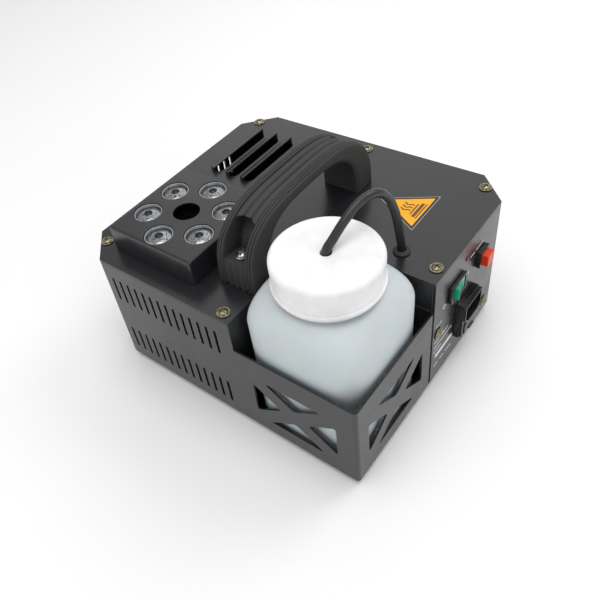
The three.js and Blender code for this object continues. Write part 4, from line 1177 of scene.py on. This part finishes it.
class LabelOperator(bpy.types.Operator):
    """Makes the triangular hot-surface label: film, black border, amber field and a plain pictogram"""

    bl_idname = "fog.label"
    bl_label = "Label"

    def execute(self, context):
        settings = context.scene.fog_label
        low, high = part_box("hazard_label")
        side = high.y - low.y
        depth = high.x - low.x
        middle = np.array([low.x + depth * 2 / 3, (low.y + high.y) / 2])
        corner = np.array([math.pi, -math.pi / 3, math.pi / 3])
        reach = depth * 2 / 3
        corners = middle + reach * np.column_stack([np.cos(corner), np.sin(corner)])
        outline = rounded(corners, 0.035 * side, 8)
        inner_radius = depth / 3

        def plate(inset, bottom, top):
            ring = middle + (outline - middle) * (1 - inset / inner_radius)
            return np.stack([np.column_stack([ring, np.full(len(ring), z)]) for z in (bottom, top)])

        film_top = high.z - 3 * HAIR
        edge = 0.45 * MM
        border = plate(edge, film_top, film_top + HAIR), plate(
            settings.border + edge, film_top, film_top + HAIR
        )
        band = np.stack([border[0][0], border[0][1], border[1][1], border[1][0]])
        shells = [
            shell(plate(0, low.z, film_top)),
            shell(band, closed=True),
            shell(plate(settings.border + edge + HAIR, film_top, film_top + HAIR)),
            *self.pictogram(middle, film_top + 1.1 * HAIR),
        ]
        inks = [finish(name) for name in ("label_film", "print_black", "label_amber", "print_brown")]
        build("hot_surface_label", shells, inks, "case", ["hazard_label"], sharp=30)
        return {"FINISHED"}

    def pictogram(self, middle, z):
        """Three rising waves over a bar, with two plain bars under them; up is away from the label's long
        edge."""
        shells = []

        def strip(points, width):
            points = np.asarray(points, float)
            along = np.gradient(points, axis=0)
            along /= np.linalg.norm(along, axis=1, keepdims=True)
            across = np.column_stack([-along[:, 1], along[:, 0]]) * width / 2
            left, right = points - across, points + across
            edges = [(left, z), (right, z), (right, z + HAIR), (left, z + HAIR)]
            rows = [np.column_stack([edge, np.full(len(edge), height)]) for edge, height in edges]
            shells.append(shell(np.stack(rows, axis=1)))

        t = np.linspace(0, 1, 30)
        for offset in (-3.4, 0.0, 3.4):
            x = middle[0] + (1.2 - 8.2 * t) * MM
            y = middle[1] + (offset + 0.75 * np.sin(TURN * t * 1.25)) * MM
            strip(np.column_stack([x, y]), 1.25 * MM)
        for x, half, width in ((2.9, 6.6, 1.2), (6.0, 8.8, 2.6), (8.6, 9.6, 1.0)):
            place, reach = middle[0] + x * MM, half * MM
            strip(np.linspace((place, middle[1] - reach), (place, middle[1] + reach), 4), width * MM)
        return shells


class StageOperator(bpy.types.Operator):
    """Sets the camera, the pale floor and the soft studio lights"""

    bl_idname = "fog.stage"
    bl_label = "Stage"

    def execute(self, context):
        scene, settings = context.scene, context.scene.fog_stage
        self.camera(scene, settings)
        self.floor(scene)
        world = bpy.data.worlds.new("studio_air")
        world.use_nodes = True
        background = world.node_tree.nodes["Background"]
        background.inputs["Color"].default_value = (1.0, 1.0, 1.0, 1.0)
        background.inputs["Strength"].default_value = settings.sky
        scene.world = world
        scene.view_settings.view_transform = "Standard"
        self.soft_box("key_light", -20, 22, 1.2, settings.key)
        self.soft_box("fill_light", 78, 24, 1.2, settings.fill)
        self.soft_box("top_light", 20, 84, 1.2, settings.top)
        self.soft_box("rear_light", 212, 40, 1.3, settings.rear)
        self.soft_box("rim_light", 155, 48, 0.8, settings.rim)
        return {"FINISHED"}

    def camera(self, scene, settings):
        az, el, roll = settings.azimuth, settings.elevation, settings.roll
        back = Vector((math.sin(az) * math.cos(el), -math.cos(az) * math.cos(el), math.sin(el)))
        right = Vector((math.cos(az), math.sin(az), 0))
        up = back.cross(right)
        tilted_right = right * math.cos(roll) + up * math.sin(roll)
        tilted_up = up * math.cos(roll) - right * math.sin(roll)
        turn = Matrix((tilted_right, tilted_up, back)).transposed()
        data = bpy.data.cameras.new("studio_camera")
        data.lens = settings.focal
        data.shift_x, data.shift_y = settings.shift
        data.clip_start = 0.01
        camera = bpy.data.objects.new("studio_camera", data)
        camera.matrix_world = Matrix.Translation(settings.eye) @ turn.to_4x4()
        scene.collection.objects.link(camera)
        scene.camera = camera

    def floor(self, scene):
        """A wide disc: rings of growing radius round the machine."""
        radius = np.concatenate([[0.01], np.geomspace(0.2, 9, 12)])
        angle = np.arange(64) / 64 * TURN
        x, y = radius[:, None] * np.cos(angle), radius[:, None] * np.sin(angle)
        rings = np.stack([x, y, np.zeros_like(x)], axis=-1)
        columns = len(angle)
        lower = np.arange(len(radius) - 1)[:, None] * columns
        here, after = np.arange(columns)[None, :], (np.arange(columns)[None, :] + 1) % columns
        quads = np.stack(
            [lower + here, lower + columns + here, lower + columns + after, lower + after], axis=-1
        )
        faces = quads.reshape(-1, 4).tolist()
        mesh = bpy.data.meshes.new("studio_floor")
        mesh.from_pydata(rings.reshape(-1, 3).tolist(), [], [*faces, list(range(columns))])
        mesh.materials.append(finish("studio_floor"))
        floor = bpy.data.objects.new("studio_floor", mesh)
        scene.collection.objects.link(floor)

    def soft_box(self, name, azimuth, elevation, size, power):
        """A round soft box of the given size, azimuth and elevation in degrees, turned to the machine."""
        az, el = math.radians(azimuth), math.radians(elevation)
        away = Vector((math.sin(az) * math.cos(el), -math.cos(az) * math.cos(el), math.sin(el)))
        target = Vector((0, 0, 0.07))
        data = bpy.data.lights.new(name, "AREA")
        data.shape = "DISK"
        data.size = size
        data.energy = power
        light = bpy.data.objects.new(name, data)
        facing = away.to_track_quat("Z", "Y").to_matrix().to_4x4()
        light.matrix_world = Matrix.Translation(target + away * LIGHT_DISTANCE) @ facing
        bpy.context.scene.collection.objects.link(light)


OPERATORS = [
    FinishesOperator,
    StageOperator,
    HoseOperator,
    CaseOperator,
    PanelOperator,
    LampsOperator,
    ScrewsOperator,
    HandleOperator,
    JarOperator,
    LabelOperator,
]


class FogMachinePanel(bpy.types.Panel):
    """Lists the machine's operators and the settings they read"""

    bl_idname = "VIEW3D_PT_fog_machine"
    bl_label = "Stage fog machine"
    bl_space_type = "VIEW_3D"
    bl_region_type = "UI"
    bl_category = "Fog machine"

    def draw(self, context):
        for operator in OPERATORS:
            self.layout.operator(operator.bl_idname)
        for name, group in SETTINGS.items():
            column = self.layout.column()
            for key in group.__annotations__:
                column.prop(getattr(context.scene, name), key)


def register():
    for cls in [*SETTINGS.values(), *OPERATORS, FogMachinePanel]:
        bpy.utils.register_class(cls)
    for name, group in SETTINGS.items():
        setattr(bpy.types.Scene, name, PointerProperty(type=group))


def unregister():
    for name in SETTINGS:
        delattr(bpy.types.Scene, name)
    for cls in reversed([*SETTINGS.values(), *OPERATORS, FogMachinePanel]):
        bpy.utils.unregister_class(cls)


def main():
    register()
    for operator in OPERATORS:
        family, action = operator.bl_idname.split(".")
        getattr(getattr(bpy.ops, family), action)()


if __name__ == "__main__":
    main()
